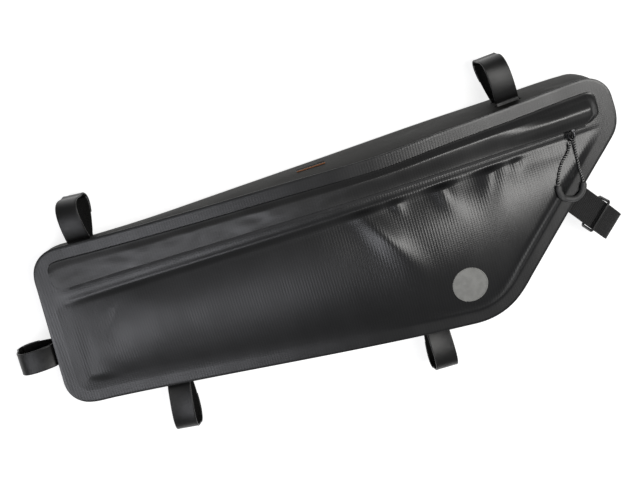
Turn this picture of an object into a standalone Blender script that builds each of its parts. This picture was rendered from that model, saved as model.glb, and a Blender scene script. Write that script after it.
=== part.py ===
"""Bicycle frame bag: a slim welded bag that straps fasten inside a bicycle's main triangle.

The bag lies on its back panel. +X runs along its top edge towards the nose, +Y towards the top
edge and +Z out of its face. All sizes are in metres. It is worked out with its rear edge at x = 0
and its lowest edge at y = 0, and recentre() moves it to its natural origin at the end.
"""

import math
from collections import namedtuple

import bmesh
import bpy
from mathutils import Vector
from mathutils.bvhtree import BVHTree

# Main form
BAG_LENGTH = 0.509
BAG_HEIGHT = 0.177
FRONT_SAG = 0.0082
BACK_SAG = 0.0056
REAR_DEPTH = 0.022
MIDDLE_DEPTH = 0.048
NOSE_DEPTH = 0.041
DEEPEST_AT = 0.66
FACE_BULGE = 0.0095
FACE_SWELL_RUN = 0.24
BACK_BULGE = 0.0045
WALL = 0.0014
GAP = 0.0003
CUT_DEPTH = 0.0112
WELD = 0.00001

# Welded rim and gussets
RIM_WIDTH = 0.010
RIM_GROOVE = 0.0008
RIM_GROOVE_RUN = 0.010
RIM_STANDOFF = 0.003
GUSSET_PUFF = 0.0015

# Zip and its flap
FLAP_BELOW_CHORD = 0.0370
FLAP_WALL = 0.0012
FLAP_RISE = 0.0034
FLAP_REAR_MARGIN = 0.0210
FLAP_NOSE_MARGIN = 0.0150
FLAP_CORNER = 0.008
FLAP_CORNER_FROM = 0.62
FLAP_RISE_RUN = 0.55
FLAP_SEAM = 0.001
FLAP_STEPS = 34
FLAP_LINES = 7
FLAP_END_CROWDING = 0.65
FLAP_END_LIFT = 0.35
HOOD_RISE = 0.0044
HOOD_LENGTH = 0.042
CREASE_REAR = 0.0130
CREASE_NOSE = 0.0085
CREASE_RUN = 0.15
TAPE_WIDTH = 0.014
TAPE_WALL = 0.0007
TAPE_END_MARGIN = 0.0125
SLIT_END_MARGIN = 0.0170
CHAIN_WIDTH = 0.0046
CHAIN_HEIGHT = 0.0013
CHAIN_ABOVE_EDGE = 0.0045
SLIT_WIDTH = 0.0030
TAPE_STEPS = 30
SLIT_STEPS = 24
SLIDER_LENGTH = 0.0125
SLIDER_WIDTH = 0.0095
SLIDER_HEIGHT = 0.0030
SLIDER_AT = 0.923
PULL_EYE_LENGTH = 0.0110
PULL_EYE_WIDTH = 0.0085
PULL_EYE_HEIGHT = 0.0020
PULL_EYE_OFFSET = 0.0025
PULL_EYE_SEAT = 0.0020

# Pull cord and its grip
CORD_DIAMETER = 0.0018
GRIP_DIAMETER = 0.0050
GRIP_SIDES = 10
GRIP_EASE = 0.06
CORD_HANG = 0.20
CORD_STEPS = 3

# Badge and cable port
BADGE_RADIUS = 0.0150
BADGE_WALL = 0.0008
BADGE_SEAT = 0.0005
BADGE_STEPS = 8
BADGE_AT = (0.699, 0.219)
PORT_AT = 0.503
PORT_SHARE = 0.34
PORT_LENGTH = 0.025
PORT_SLIT = 0.0016
PORT_LIP_WIDTH = 0.0045
PORT_LIP_WALL = 0.0008

# Straps
STRAP_WIDTH = 0.020
STRAP_WALL = 0.0016
STRAP_NECK = 0.0015
STRAP_STEPS = 12
STRAP_INNER_RUN = 10
STRAP_LAP_RUN = 9
WEBBING_WIDTH = 0.025
WEBBING_WALL = 0.0018
SLOT_SPARE = 0.0006
RING_WIRE = 0.0030
RING_AT = 0.62
RING_SIDES = 8

# Mesh density
HALF_COUNT = 40
STRAIGHT_STEP = 0.002
CORNER_WEIGHT = 0.055

Corner = namedtuple("Corner", "name x y radius")
CORNERS = (
    # x as a share of the length, y and radius as shares of the height
    Corner("rear_top", 0.017, 0.908, 0.145),
    Corner("nose_top", 0.997, 1.000, 0.125),
    Corner("nose_front", 1.000, 0.734, 0.145),
    Corner("bottom_front", 0.751, 0.000, 0.330),
    Corner("rear_bottom", 0.000, 0.1265, 0.120),
)

FRONT_SAG_SHAPE = (
    # share of the length, share of the sag
    (0.00, 0.00),
    (0.14, 0.43),
    (0.28, 0.66),
    (0.45, 0.80),
    (0.61, 0.98),
    (0.71, 0.66),
    (0.84, 0.42),
    (0.92, 0.20),
    (1.00, 0.08),
)
BACK_SAG_SHAPE = (
    (0.00, 0.40),
    (0.12, 0.85),
    (0.22, 1.00),
    (0.36, 0.76),
    (0.52, 0.46),
    (0.70, 0.07),
    (0.82, -0.02),
    (0.91, -0.19),
    (1.00, 0.00),
)
TopLine = namedtuple("TopLine", "sag shape")
FRONT_TOP = TopLine(FRONT_SAG, FRONT_SAG_SHAPE)
BACK_TOP = TopLine(BACK_SAG, BACK_SAG_SHAPE)

# The line that the panels' rings close in on
SPINE = ((0.130, 0.545), (0.905, 0.720))

FACE_RINGS = (0.10, 0.20, 0.31, 0.42, 0.53, 0.65, 0.80, 1.00)

BACK_RINGS = (
    # share of the way to the spine, share of the back's bulge still left
    (0.12, 0.62),
    (0.26, 0.22),
    (0.40, 0.00),
)

Dent = namedtuple("Dent", "x y run_x run_y turn depth")
DENTS = (
    # centre as shares of length and height, half sizes as shares of the height, turn in degrees,
    # depth as a share of the face's bulge
    Dent(0.545, 0.500, 0.100, 0.330, 38.0, 0.14),
    Dent(0.770, 0.560, 0.090, 0.300, 30.0, 0.12),
    Dent(0.880, 0.690, 0.050, 0.220, -28.0, 0.22),
    Dent(0.240, 0.330, 0.220, 0.260, 10.0, 0.10),
)

Strap = namedtuple("Strap", "name gusset x y reach half_depth twist lean")
STRAPS = (
    # x and y place the strap by shares of length and height; reach and half depth as shares of
    # the strap's width; twist about its own line and lean along the edge, in degrees
    Strap("top_rear_strap", "top_gusset", 0.103, 0.89, 1.800, 0.625, 12.0, 4.0),
    Strap("top_front_strap", "top_gusset", 0.839, 0.97, 1.925, 0.625, -14.0, -6.0),
    Strap("rear_strap", "rear_gusset", 0.008, 0.395, 1.700, 0.575, 4.0, -3.6),
    Strap("bottom_rear_strap", "bottom_gusset", 0.186, 0.10, 2.225, 0.625, -8.0, 1.3),
    Strap("bottom_front_strap", "bottom_gusset", 0.633, 0.03, 2.000, 0.675, 8.0, -1.4),
)
FRONT_STRAP = Strap("front_strap", "front_gusset", 0.903, 0.463, 1.960, 0.300, 0.0, 6.8)

# The pull cord's route over the face: shares of length and height, from the slider and back to it
CORD_ROUTE = (
    (0.9145, 0.729),
    (0.9085, 0.691),
    (0.8927, 0.643),
    (0.8812, 0.585),
    (0.8764, 0.526),
    (0.8818, 0.487),
    (0.8923, 0.468),
    (0.9039, 0.462),
    (0.9157, 0.482),
    (0.9210, 0.516),
    (0.9218, 0.560),
    (0.9200, 0.611),
    (0.9195, 0.669),
    (0.9205, 0.729),
)
GRIP_SPAN = (0.32, 0.67)

LAMINATE = ("laminate", (0.030, 0.031, 0.034), 0.36)
RIM_LAMINATE = ("gusset_laminate", (0.040, 0.040, 0.037), 0.50)
STRAP_CLOTH = ("strap_cloth", (0.018, 0.018, 0.018), 0.55)
WEBBING = ("webbing", (0.020, 0.020, 0.021), 0.70)
ZIP_PLASTIC = ("zip_plastic", (0.012, 0.012, 0.013), 0.35)
CORD_FIBRE = ("cord_fibre", (0.025, 0.025, 0.026), 0.80)
GRIP_RUBBER = ("grip_rubber", (0.060, 0.060, 0.062), 0.60)
BADGE_PRINT = ("badge_grey", (0.130, 0.130, 0.132), 0.50)
PORT_ACCENT = ("port_accent", (0.360, 0.130, 0.040), 0.50)


def clear_scene():
    for old in list(bpy.data.objects):
        bpy.data.objects.remove(old, do_unlink=True)


def new_collection(name):
    collection = bpy.data.collections.new(name)
    bpy.context.scene.collection.children.link(collection)
    return collection


def material_of(finish):
    name, colour, roughness = finish
    material = bpy.data.materials.get(name)
    if material is None:
        material = bpy.data.materials.new(name)
        material.use_nodes = True
        shader = material.node_tree.nodes["Principled BSDF"]
        shader.inputs["Base Color"].default_value = (*colour, 1.0)
        shader.inputs["Roughness"].default_value = roughness
        shader.inputs["Metallic"].default_value = 0.0
    return material


def clamp(value, low=0.0, high=1.0):
    return max(low, min(high, value))


def ease(value):
    share = clamp(value)
    return share * share * (3.0 - 2.0 * share)


def smooth_value(rows, at):
    """A smooth curve through a table's rows, read at one place."""
    last = len(rows) - 1
    for index in range(last):
        if at <= rows[index + 1][0] or index == last - 1:
            break
    start, end = rows[index], rows[index + 1]
    before, after = rows[max(index - 1, 0)], rows[min(index + 2, last)]
    span = end[0] - start[0]
    slope_in = (end[1] - before[1]) / (end[0] - before[0]) * span
    slope_out = (after[1] - start[1]) / (after[0] - start[0]) * span
    s = clamp((at - start[0]) / span)
    return ((2 * s ** 3 - 3 * s ** 2 + 1) * start[1] + (s ** 3 - 2 * s ** 2 + s) * slope_in
            + (3 * s ** 2 - 2 * s ** 3) * end[1] + (s ** 3 - s ** 2) * slope_out)


def depth_at(x):
    """How wide the gusset is: thin at the rear, widest two thirds along, less at the nose."""
    share = x / BAG_LENGTH
    if share < DEEPEST_AT:
        return REAR_DEPTH + (MIDDLE_DEPTH - REAR_DEPTH) * ease(share / DEEPEST_AT)
    return MIDDLE_DEPTH + (NOSE_DEPTH - MIDDLE_DEPTH) * ease((share - DEEPEST_AT) / (1.0 - DEEPEST_AT))


def rim_height(x):
    """Height of the face rim's outer surface."""
    return BACK_BULGE + 2.0 * WALL + 2.0 * GAP + depth_at(x)


def top_chord(x):
    """The straight line between the top edge's ends."""
    rear, nose = CORNERS[0], CORNERS[1]
    share = (x / BAG_LENGTH - rear.x) / (nose.x - rear.x)
    return BAG_HEIGHT * (rear.y + (nose.y - rear.y) * share)


def top_edge(x, line):
    return top_chord(x) - line.sag * smooth_value(line.shape, clamp(x / BAG_LENGTH))


def corner_point(corner):
    return Vector((corner.x * BAG_LENGTH, corner.y * BAG_HEIGHT))


def dense_outline(line):
    """The closed outline, clockwise from above, in small steps, with how much each step weighs."""
    points = []
    weights = []
    count = len(CORNERS)
    spots = [corner_point(corner) for corner in CORNERS]
    arcs = []
    for index, corner in enumerate(CORNERS):
        here = spots[index]
        back = (spots[index - 1] - here).normalized()
        ahead = (spots[(index + 1) % count] - here).normalized()
        half = back.angle(ahead) / 2.0
        radius = corner.radius * BAG_HEIGHT
        reach = radius / math.tan(half)
        centre = here + (back + ahead).normalized() * (radius / math.sin(half))
        arcs.append((here + back * reach, here + ahead * reach, centre, radius, math.pi - 2.0 * half))
    for index, (start, end, centre, radius, turn) in enumerate(arcs):
        steps = max(4, round(turn * radius / STRAIGHT_STEP))
        first = start - centre
        for step in range(steps):
            angle = -turn * step / steps
            cos, sin = math.cos(angle), math.sin(angle)
            points.append(centre + Vector((first.x * cos - first.y * sin, first.x * sin + first.y * cos)))
            weights.append(1.0 + CORNER_WEIGHT / radius)
        following = arcs[(index + 1) % count][0]
        steps = max(2, round((following - end).length / STRAIGHT_STEP))
        for step in range(steps):
            points.append(end.lerp(following, step / steps))
            weights.append(1.0)
    for point in points:
        straight = top_chord(point.x)
        nearness = ease(1.0 - (straight - point.y) / (0.25 * BAG_HEIGHT))
        point.y -= (straight - top_edge(point.x, line)) * nearness
    return points, weights


def resample(points, weights, count):
    """The run of points in steps of equal weight, first and last kept."""
    sums = [0.0]
    for index in range(len(points) - 1):
        sums.append(sums[-1] + (points[index + 1] - points[index]).length * weights[index])
    found = [points[0].copy()]
    index = 0
    for step in range(1, count):
        target = sums[-1] * step / count
        while sums[index + 1] < target:
            index += 1
        share = (target - sums[index]) / (sums[index + 1] - sums[index])
        found.append(points[index].lerp(points[index + 1], share))
    return found + [points[-1].copy()]


def paired_outline(line):
    """The outline from the middle of the rear edge round to it again, as many points above as below."""
    points, weights = dense_outline(line)
    rear = 0.5 * (CORNERS[0].y + CORNERS[4].y) * BAG_HEIGHT
    nose = 0.5 * (CORNERS[1].y + CORNERS[2].y) * BAG_HEIGHT
    start = min(range(len(points)), key=lambda i: (points[i] - Vector((0.0, rear))).length)
    points = points[start:] + points[:start + 1]
    weights = weights[start:] + weights[:start + 1]
    turn = min(range(len(points)), key=lambda i: (points[i] - Vector((BAG_LENGTH, nose))).length)
    upper = resample(points[:turn + 1], weights[:turn + 1], HALF_COUNT)
    lower = resample(points[turn:], weights[turn:], HALF_COUNT)
    return upper[:-1] + lower[:-1]


def inward_normals(ring):
    count = len(ring)
    normals = []
    for index in range(count):
        along = (ring[(index + 1) % count] - ring[index - 1]).normalized()
        normals.append(Vector((along.y, -along.x)))
    return normals


def inset(ring, distance):
    return [point + normal * distance for point, normal in zip(ring, inward_normals(ring))]


def spine_points():
    """Where each outline point goes as the rings close in, the same for a pair above and below."""
    start = Vector((SPINE[0][0] * BAG_LENGTH, SPINE[0][1] * BAG_HEIGHT))
    end = Vector((SPINE[1][0] * BAG_LENGTH, SPINE[1][1] * BAG_HEIGHT))
    line = end - start
    ring = FRONT_OUTLINE
    found = []
    for index in range(len(ring)):
        pair = (ring[index] + ring[-index]) / 2.0
        share = clamp((pair - start).dot(line) / line.length_squared)
        found.append(start + line * share)
    return found


FRONT_OUTLINE = paired_outline(FRONT_TOP)
BACK_OUTLINE = paired_outline(BACK_TOP)
DENSE_FRONT = dense_outline(FRONT_TOP)[0]


def edge_distance(x, y):
    spot = Vector((x, y))
    return min((spot - point).length for point in DENSE_FRONT)


def flap_edge(x):
    """The flap's free edge is straight, whatever the rim above it does."""
    return top_chord(x) - FLAP_BELOW_CHORD


def dent_at(x, y):
    depth = 0.0
    for dent in DENTS:
        dx = x - dent.x * BAG_LENGTH
        dy = y - dent.y * BAG_HEIGHT
        turn = math.radians(dent.turn)
        along = (dx * math.cos(turn) + dy * math.sin(turn)) / (dent.run_x * BAG_HEIGHT)
        across = (dy * math.cos(turn) - dx * math.sin(turn)) / (dent.run_y * BAG_HEIGHT)
        depth += dent.depth * math.exp(-along * along - across * across)
    return depth


def face_height(x, y):
    """Outer surface of the face: a flat rim, a groove, a level strip for the zip and a soft bulge."""
    inside = edge_distance(x, y) - RIM_WIDTH
    if inside <= 0.0:
        return rim_height(x)
    swell = 1.0 - (1.0 - clamp(inside / (FACE_SWELL_RUN * BAG_HEIGHT))) ** 2
    below_flap = flap_edge(x) - y
    crease = CREASE_REAR + (CREASE_NOSE - CREASE_REAR) * ease(x / BAG_LENGTH)
    below_zip = ease((below_flap - crease) / (CREASE_RUN * BAG_HEIGHT))
    groove = RIM_GROOVE * ease(inside / 0.002) * ease(below_flap / CREASE_NOSE)
    groove *= 1.0 - ease(inside / RIM_GROOVE_RUN)
    bulge = FACE_BULGE * swell * below_zip * (1.0 - dent_at(x, y))
    return rim_height(x) + bulge - groove


def new_object(name, bm, finish, home=None):
    mesh = bpy.data.meshes.new(name)
    bm.to_mesh(mesh)
    bm.free()
    mesh.shade_smooth()
    mesh.set_sharp_from_angle(angle=math.radians(40.0))
    made = bpy.data.objects.new(name, mesh)
    (home or PARTS).objects.link(made)
    if finish is not None:
        mesh.materials.append(material_of(finish))
    return made


def surface(rows, closed_rows=False, flip=False):
    """A sheet of faces between rows of points."""
    bm = bmesh.new()
    grid = [[bm.verts.new(point) for point in row] for row in rows]
    for upper, lower in zip(grid, grid[1:]):
        steps = len(upper) if closed_rows else len(upper) - 1
        for step in range(steps):
            after = (step + 1) % len(upper)
            corners = [upper[step], upper[after], lower[after], lower[step]]
            bm.faces.new(reversed(corners) if flip else corners)
    return bm


def solidify(made, wall, offset=-1.0):
    shell = made.modifiers.new("wall", "SOLIDIFY")
    shell.thickness = wall
    shell.offset = offset
    return made


def cut(made, cutter):
    hole = made.modifiers.new(cutter.name, "BOOLEAN")
    hole.operation = "DIFFERENCE"
    hole.solver = "EXACT"
    hole.object = cutter


def as_cutter(made):
    made.hide_render = True
    made.display_type = "WIRE"
    return made


def box_cutter(name, centre, axes, sizes):
    """A box about a centre, turned to three axes."""
    bm = bmesh.new()
    bmesh.ops.create_cube(bm, size=1.0)
    for vert in bm.verts:
        shares = vert.co.copy()
        vert.co = centre + sum((axis * (share * size) for axis, share, size in zip(axes, shares, sizes)),
                               Vector((0.0, 0.0, 0.0)))
    return as_cutter(new_object(name, bm, None, CUTTERS))


def chain_line(x):
    return flap_edge(x) + CHAIN_ABOVE_EDGE


def zip_stations(margin, count):
    start = FLAP_REAR_MARGIN + margin
    end = BAG_LENGTH - FLAP_NOSE_MARGIN - margin
    return [start + (end - start) * step / count for step in range(count + 1)]


def front_panel():
    spine = spine_points()
    inner = inset(FRONT_OUTLINE, RIM_WIDTH + 0.002)
    rings = [FRONT_OUTLINE, inset(FRONT_OUTLINE, RIM_WIDTH * 0.98), inner]
    for share in FACE_RINGS:
        rings.append([spot.lerp(goal, share) for spot, goal in zip(inner, spine)])
    rows = [[(spot.x, spot.y, face_height(spot.x, spot.y)) for spot in ring] for ring in rings]
    bm = surface(rows, closed_rows=True, flip=True)
    bmesh.ops.remove_doubles(bm, verts=bm.verts, dist=WELD)
    panel = solidify(new_object("front_panel", bm, LAMINATE), WALL)
    slit_rows = []
    for side in (0.5, -0.5):
        for height in ((CUT_DEPTH, -CUT_DEPTH) if side > 0 else (-CUT_DEPTH, CUT_DEPTH)):
            slit_rows.append([(x, chain_line(x) + side * SLIT_WIDTH,
                               rim_height(x) + height) for x in zip_stations(SLIT_END_MARGIN, SLIT_STEPS)])
    slit_rows.append(slit_rows[0])
    bm = surface(slit_rows)
    bmesh.ops.remove_doubles(bm, verts=bm.verts, dist=WELD)
    bmesh.ops.holes_fill(bm, edges=bm.edges)
    bmesh.ops.recalc_face_normals(bm, faces=bm.faces)
    cut(panel, as_cutter(new_object("zip_slit", bm, None, CUTTERS)))
    return panel


def back_panel():
    spine = spine_points()
    inner = inset(BACK_OUTLINE, RIM_WIDTH)
    rows = [[(spot.x, spot.y, BACK_BULGE) for spot in ring] for ring in (BACK_OUTLINE, inner)]
    for share, left in BACK_RINGS:
        rows.append([(*spot.lerp(goal, share), BACK_BULGE * left) for spot, goal in zip(inner, spine)])
    bm = surface(rows, closed_rows=True)
    edges = [edge for edge in bm.edges
             if edge.is_boundary and all(abs(vert.co.z) < WELD for vert in edge.verts)]
    bmesh.ops.contextual_create(bm, geom=edges)
    bmesh.ops.recalc_face_normals(bm, faces=bm.faces)
    flat = max(bm.faces, key=lambda face: face.calc_area())
    if flat.normal.z > 0.0:
        bmesh.ops.reverse_faces(bm, faces=bm.faces)
    return solidify(new_object("back_panel", bm, RIM_LAMINATE), WALL)


def gusset_point(index, share, part=0.0):
    """A point of the gusset's outer surface: share runs from the back rim to the face rim."""
    spots = []
    for step in (index, index + 1):
        count = len(FRONT_OUTLINE)
        front = FRONT_INSET[step % count]
        back = BACK_INSET[step % count]
        outward = -FRONT_NORMALS[step % count]
        flat = back.lerp(front, share) + outward * (GUSSET_PUFF * math.sin(math.pi * share))
        low = BACK_BULGE + WALL + GAP
        high = rim_height(front.x) - WALL - GAP
        spots.append(Vector((flat.x, flat.y, low + (high - low) * share)))
    return spots[0].lerp(spots[1], part)


def nearest_index(corner):
    spot = corner_point(corner)
    return min(range(len(FRONT_OUTLINE)), key=lambda i: (FRONT_OUTLINE[i] - spot).length)


def gusset(name, first, last):
    count = len(FRONT_OUTLINE)
    if last < first:
        last += count
    rows = []
    for share in (0.0, 0.25, 0.5, 0.75, 1.0):
        row = [gusset_point(index, share) for index in range(first, last + 1)]
        row[0] = row[0] + (row[1] - row[0]).normalized() * GAP
        row[-1] = row[-1] + (row[-2] - row[-1]).normalized() * GAP
        rows.append(row)
    bm = surface(rows, flip=True)
    return solidify(new_object(name, bm, RIM_LAMINATE), WALL)


def gussets():
    rear_top, nose_top, _, bottom_front, rear_bottom = [nearest_index(corner) for corner in CORNERS]
    return {
        "top_gusset": gusset("top_gusset", rear_top, nose_top),
        "front_gusset": gusset("front_gusset", nose_top, bottom_front),
        "bottom_gusset": gusset("bottom_gusset", bottom_front, rear_bottom),
        "rear_gusset": gusset("rear_gusset", rear_bottom, rear_top),
    }


class Seat:
    """Where a strap leaves its gusset: the middle, and the ways out, along the edge and up."""

    def __init__(self, x, y, share=0.5, lean=0.0):
        goal = Vector((x * BAG_LENGTH, y * BAG_HEIGHT))
        best = None
        for index in range(len(FRONT_OUTLINE)):
            start = gusset_point(index, share)
            end = gusset_point(index, share, 1.0)
            line = (end - start).to_2d()
            part = clamp((goal - start.to_2d()).dot(line) / line.length_squared)
            spot = start.lerp(end, part)
            far = (spot.to_2d() - goal).length
            if best is None or far < best[0]:
                best = (far, spot, line.normalized())
        _, self.middle, along = best
        self.along = Vector((along.x, along.y, 0.0))
        self.up = Vector((0.0, 0.0, 1.0))
        self.out = Vector((-along.y, along.x, 0.0))
        self.aim = (self.out + self.along * math.tan(math.radians(lean))).normalized()


def loop_outline(reach, half_depth, slot_half):
    """Half of a strap's loop, from its slot to its outer end: how far out, how far up."""
    found = []
    for step in range(STRAP_STEPS + 1):
        angle = math.pi * step / STRAP_STEPS
        out = STRAP_NECK + (reach - STRAP_NECK) * math.sin(angle / 2.0)
        up = slot_half * math.cos(angle / 2.0) + (half_depth - 0.6 * slot_half) * math.sin(angle)
        found.append(Vector((out, up)))
    return found


def strap_path(reach, half_depth, slot_half, wall):
    """The strap's middle line: its inner end, down through one slot, up the other and over itself."""
    inside = -(2.0 * WALL + wall)
    half = loop_outline(reach, half_depth, slot_half)
    left = [Vector((spot.x, -spot.y)) for spot in half]
    path = list(reversed(left[:STRAP_INNER_RUN]))
    path.append(Vector((0.0, -slot_half)))
    path.append(Vector((inside, -slot_half * 0.98)))
    path.append(Vector((inside - wall * 0.4, -slot_half * 0.75)))
    path.append(Vector((inside - wall * 0.4, slot_half * 0.75)))
    path.append(Vector((inside, slot_half * 0.98)))
    path.append(Vector((0.0, slot_half)))
    path += half[:-1]
    lap = wall + GAP
    outer = list(reversed(left))
    for step, spot in enumerate(outer[:STRAP_LAP_RUN]):
        ahead = outer[step + 1] - outer[max(step - 1, 0)]
        away = Vector((-ahead.y, ahead.x)).normalized()
        path.append(spot + away * (lap * ease(step / 1.5)))
    return path


def strap_body(name, seat, path, width, wall, reach, twist, finish):
    """A flat strap swept along its path, turning a little as it goes out."""
    rows = []
    count = len(path)
    for index, spot in enumerate(path):
        ahead = path[min(index + 1, count - 1)] - path[max(index - 1, 0)]
        side = Vector((-ahead.y, ahead.x)).normalized() * (wall / 2.0)
        turn = math.radians(twist) * clamp(spot.x / reach)
        along = seat.along * math.cos(turn) + seat.up * math.sin(turn)
        up = seat.up * math.cos(turn) - seat.along * math.sin(turn)
        ring = []
        for sign, end in ((1, -0.5), (1, 0.5), (-1, 0.5), (-1, -0.5)):
            edge = spot + side * sign
            out = seat.aim if edge.x > 0.0 else seat.out
            ring.append(seat.middle + out * edge.x + up * edge.y + along * (end * width))
        rows.append(ring)
    bm = surface(rows, closed_rows=True)
    bm.verts.ensure_lookup_table()
    bm.faces.new(bm.verts[:4])
    bm.faces.new(list(reversed(bm.verts[-4:])))
    bmesh.ops.recalc_face_normals(bm, faces=bm.faces)
    return new_object(name, bm, finish)


def slot_half_of(half_depth):
    return min(0.62 * half_depth, 0.30 * REAR_DEPTH)


def cut_slots(strap, holder, seat, slot_half, width, wall):
    for sign, label in ((1, "upper"), (-1, "lower")):
        centre = seat.middle + seat.up * (sign * slot_half)
        sizes = (width + 2.0 * SLOT_SPARE, CUT_DEPTH, wall + 2.0 * SLOT_SPARE)
        axes = (seat.along, seat.out, seat.up)
        cut(holder, box_cutter(strap.name + "_slot_" + label, centre, axes, sizes))


def straps(holders):
    for strap in STRAPS:
        seat = Seat(strap.x, strap.y, lean=strap.lean)
        reach = strap.reach * STRAP_WIDTH
        half_depth = strap.half_depth * STRAP_WIDTH
        slot_half = slot_half_of(half_depth)
        path = strap_path(reach, half_depth, slot_half, STRAP_WALL)
        strap_body(strap.name, seat, path, STRAP_WIDTH, STRAP_WALL, reach, strap.twist, STRAP_CLOTH)
        cut_slots(strap, holders[strap.gusset], seat, slot_half, STRAP_WIDTH, STRAP_WALL)


def front_strap(holders):
    """The wide webbing at the nose, folded through a square ring."""
    strap = FRONT_STRAP
    seat = Seat(strap.x, strap.y, lean=strap.lean)
    reach = strap.reach * WEBBING_WIDTH
    half_depth = strap.half_depth * WEBBING_WIDTH
    slot_half = slot_half_of(half_depth)
    path = strap_path(reach, half_depth, slot_half, WEBBING_WALL)
    strap_body(strap.name, seat, path, WEBBING_WIDTH, WEBBING_WALL, reach, strap.twist, WEBBING)
    cut_slots(strap, holders[strap.gusset], seat, slot_half, WEBBING_WIDTH, WEBBING_WALL)
    half_up = max(abs(spot.y) for spot in path) + 0.5 * WEBBING_WALL + 0.5 * RING_WIRE + GAP
    half_wide = 0.5 * WEBBING_WIDTH + 0.5 * RING_WIRE + 2.0 * GAP
    centre = seat.middle + seat.aim * (RING_AT * reach)
    rows = []
    corner = RING_WIRE
    for side_wide, side_up, start in ((1, 1, 0), (-1, 1, 90), (-1, -1, 180), (1, -1, 270)):
        for turn in (0, 30, 60, 90):
            angle = math.radians(start + turn)
            wide = side_wide * (half_wide - corner) + corner * math.cos(angle)
            up = side_up * (half_up - corner) + corner * math.sin(angle)
            spoke = seat.along * math.cos(angle) + seat.up * math.sin(angle)
            middle = centre + seat.along * wide + seat.up * up
            ring = []
            for step in range(RING_SIDES):
                part = 2.0 * math.pi * step / RING_SIDES
                ring.append(middle + spoke * (0.5 * RING_WIRE * math.cos(part))
                            + seat.aim * (0.5 * RING_WIRE * math.sin(part)))
            rows.append(ring)
    rows.append(rows[0])
    bm = surface(rows, closed_rows=True)
    bmesh.ops.remove_doubles(bm, verts=bm.verts, dist=WELD)
    bmesh.ops.recalc_face_normals(bm, faces=bm.faces)
    new_object("front_ring", bm, ZIP_PLASTIC)


def hood_at(x):
    """The flap rises over the parked slider near the nose, and closes behind it."""
    centre = SLIDER_AT * BAG_LENGTH
    return math.exp(-((x - centre) / (0.5 * HOOD_LENGTH)) ** 2)


def zip_flap():
    """The flap over the zip: welded along the rim, free along its lower edge, with rounded ends."""
    rows = []
    for line in range(FLAP_LINES):
        across = line / (FLAP_LINES - 1)
        row = []
        turned = ease((across - FLAP_CORNER_FROM) / (1.0 - FLAP_CORNER_FROM))
        curl = FLAP_CORNER * (1.0 - math.sqrt(max(0.0, 1.0 - turned ** 2)))
        start = FLAP_REAR_MARGIN + curl
        end = BAG_LENGTH - FLAP_NOSE_MARGIN - curl
        for step in range(FLAP_STEPS + 1):
            even = step / FLAP_STEPS
            crowded = 0.5 - 0.5 * math.cos(math.pi * even)
            x = start + (end - start) * (even + (crowded - even) * FLAP_END_CROWDING)
            high = top_edge(x, FRONT_TOP) - RIM_WIDTH - FLAP_SEAM
            y = high + (flap_edge(x) - high) * across
            lift = (FLAP_RISE + HOOD_RISE * hood_at(x)) * ease(across / FLAP_RISE_RUN)
            ends = ease(min(x - start, end - x) / FLAP_CORNER)
            height = rim_height(x) + GAP + FLAP_WALL + lift * (FLAP_END_LIFT + (1.0 - FLAP_END_LIFT) * ends)
            row.append((x, y, height))
        rows.append(row)
    return solidify(new_object("zip_flap", surface(rows, flip=True), LAMINATE), FLAP_WALL)


def zip_tape():
    """The tape with the zip's chain along its middle, over the slit."""
    half = 0.5 * TAPE_WIDTH
    chain = 0.5 * CHAIN_WIDTH
    top = GAP + TAPE_WALL
    profile = (
        (half, GAP), (half, top), (chain, top), (0.7 * chain, top + CHAIN_HEIGHT),
        (-0.7 * chain, top + CHAIN_HEIGHT), (-chain, top), (-half, top), (-half, GAP),
    )
    rows = []
    for x in zip_stations(TAPE_END_MARGIN, TAPE_STEPS):
        middle = chain_line(x)
        rows.append([(x, middle + across, rim_height(x) + up) for across, up in profile])
    bm = surface(rows, closed_rows=True)
    bm.verts.ensure_lookup_table()
    size = len(profile)
    bm.faces.new(bm.verts[:size])
    bm.faces.new(list(reversed(bm.verts[-size:])))
    bmesh.ops.recalc_face_normals(bm, faces=bm.faces)
    return new_object("zip_tape", bm, ZIP_PLASTIC)


def block(name, centre, sizes, finish, rounding):
    bm = bmesh.new()
    bmesh.ops.create_cube(bm, size=1.0)
    for vert in bm.verts:
        vert.co = Vector([centre[axis] + vert.co[axis] * sizes[axis] for axis in range(3)])
    made = new_object(name, bm, finish)
    bevel = made.modifiers.new("rounding", "BEVEL")
    bevel.width = rounding
    bevel.segments = 2
    return made


def slider_spot():
    """Middle of the slider's underside, just over the chain."""
    x = SLIDER_AT * BAG_LENGTH
    return Vector((x, chain_line(x), rim_height(x) + 2.0 * GAP + TAPE_WALL + CHAIN_HEIGHT))


def zip_slider():
    """The slider's body, with the eye that holds the pull cord at its lower side."""
    spot = slider_spot()
    middle = (spot.x, spot.y, spot.z + 0.5 * SLIDER_HEIGHT)
    body = block("zip_slider", middle, (SLIDER_LENGTH, SLIDER_WIDTH, SLIDER_HEIGHT), ZIP_PLASTIC, 0.0008)
    low = spot.y - 0.5 * SLIDER_WIDTH - 0.5 * PULL_EYE_LENGTH + PULL_EYE_SEAT
    centre = (spot.x - PULL_EYE_OFFSET, low, spot.z + 0.5 * SLIDER_HEIGHT)
    eye = block("slider_eye", centre, (PULL_EYE_WIDTH, PULL_EYE_LENGTH, PULL_EYE_HEIGHT), None, 0.0005)
    PARTS.objects.unlink(eye)
    CUTTERS.objects.link(eye)
    as_cutter(eye)
    joined = body.modifiers.new("eye", "BOOLEAN")
    joined.operation = "UNION"
    joined.solver = "EXACT"
    joined.object = eye
    return body


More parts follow.
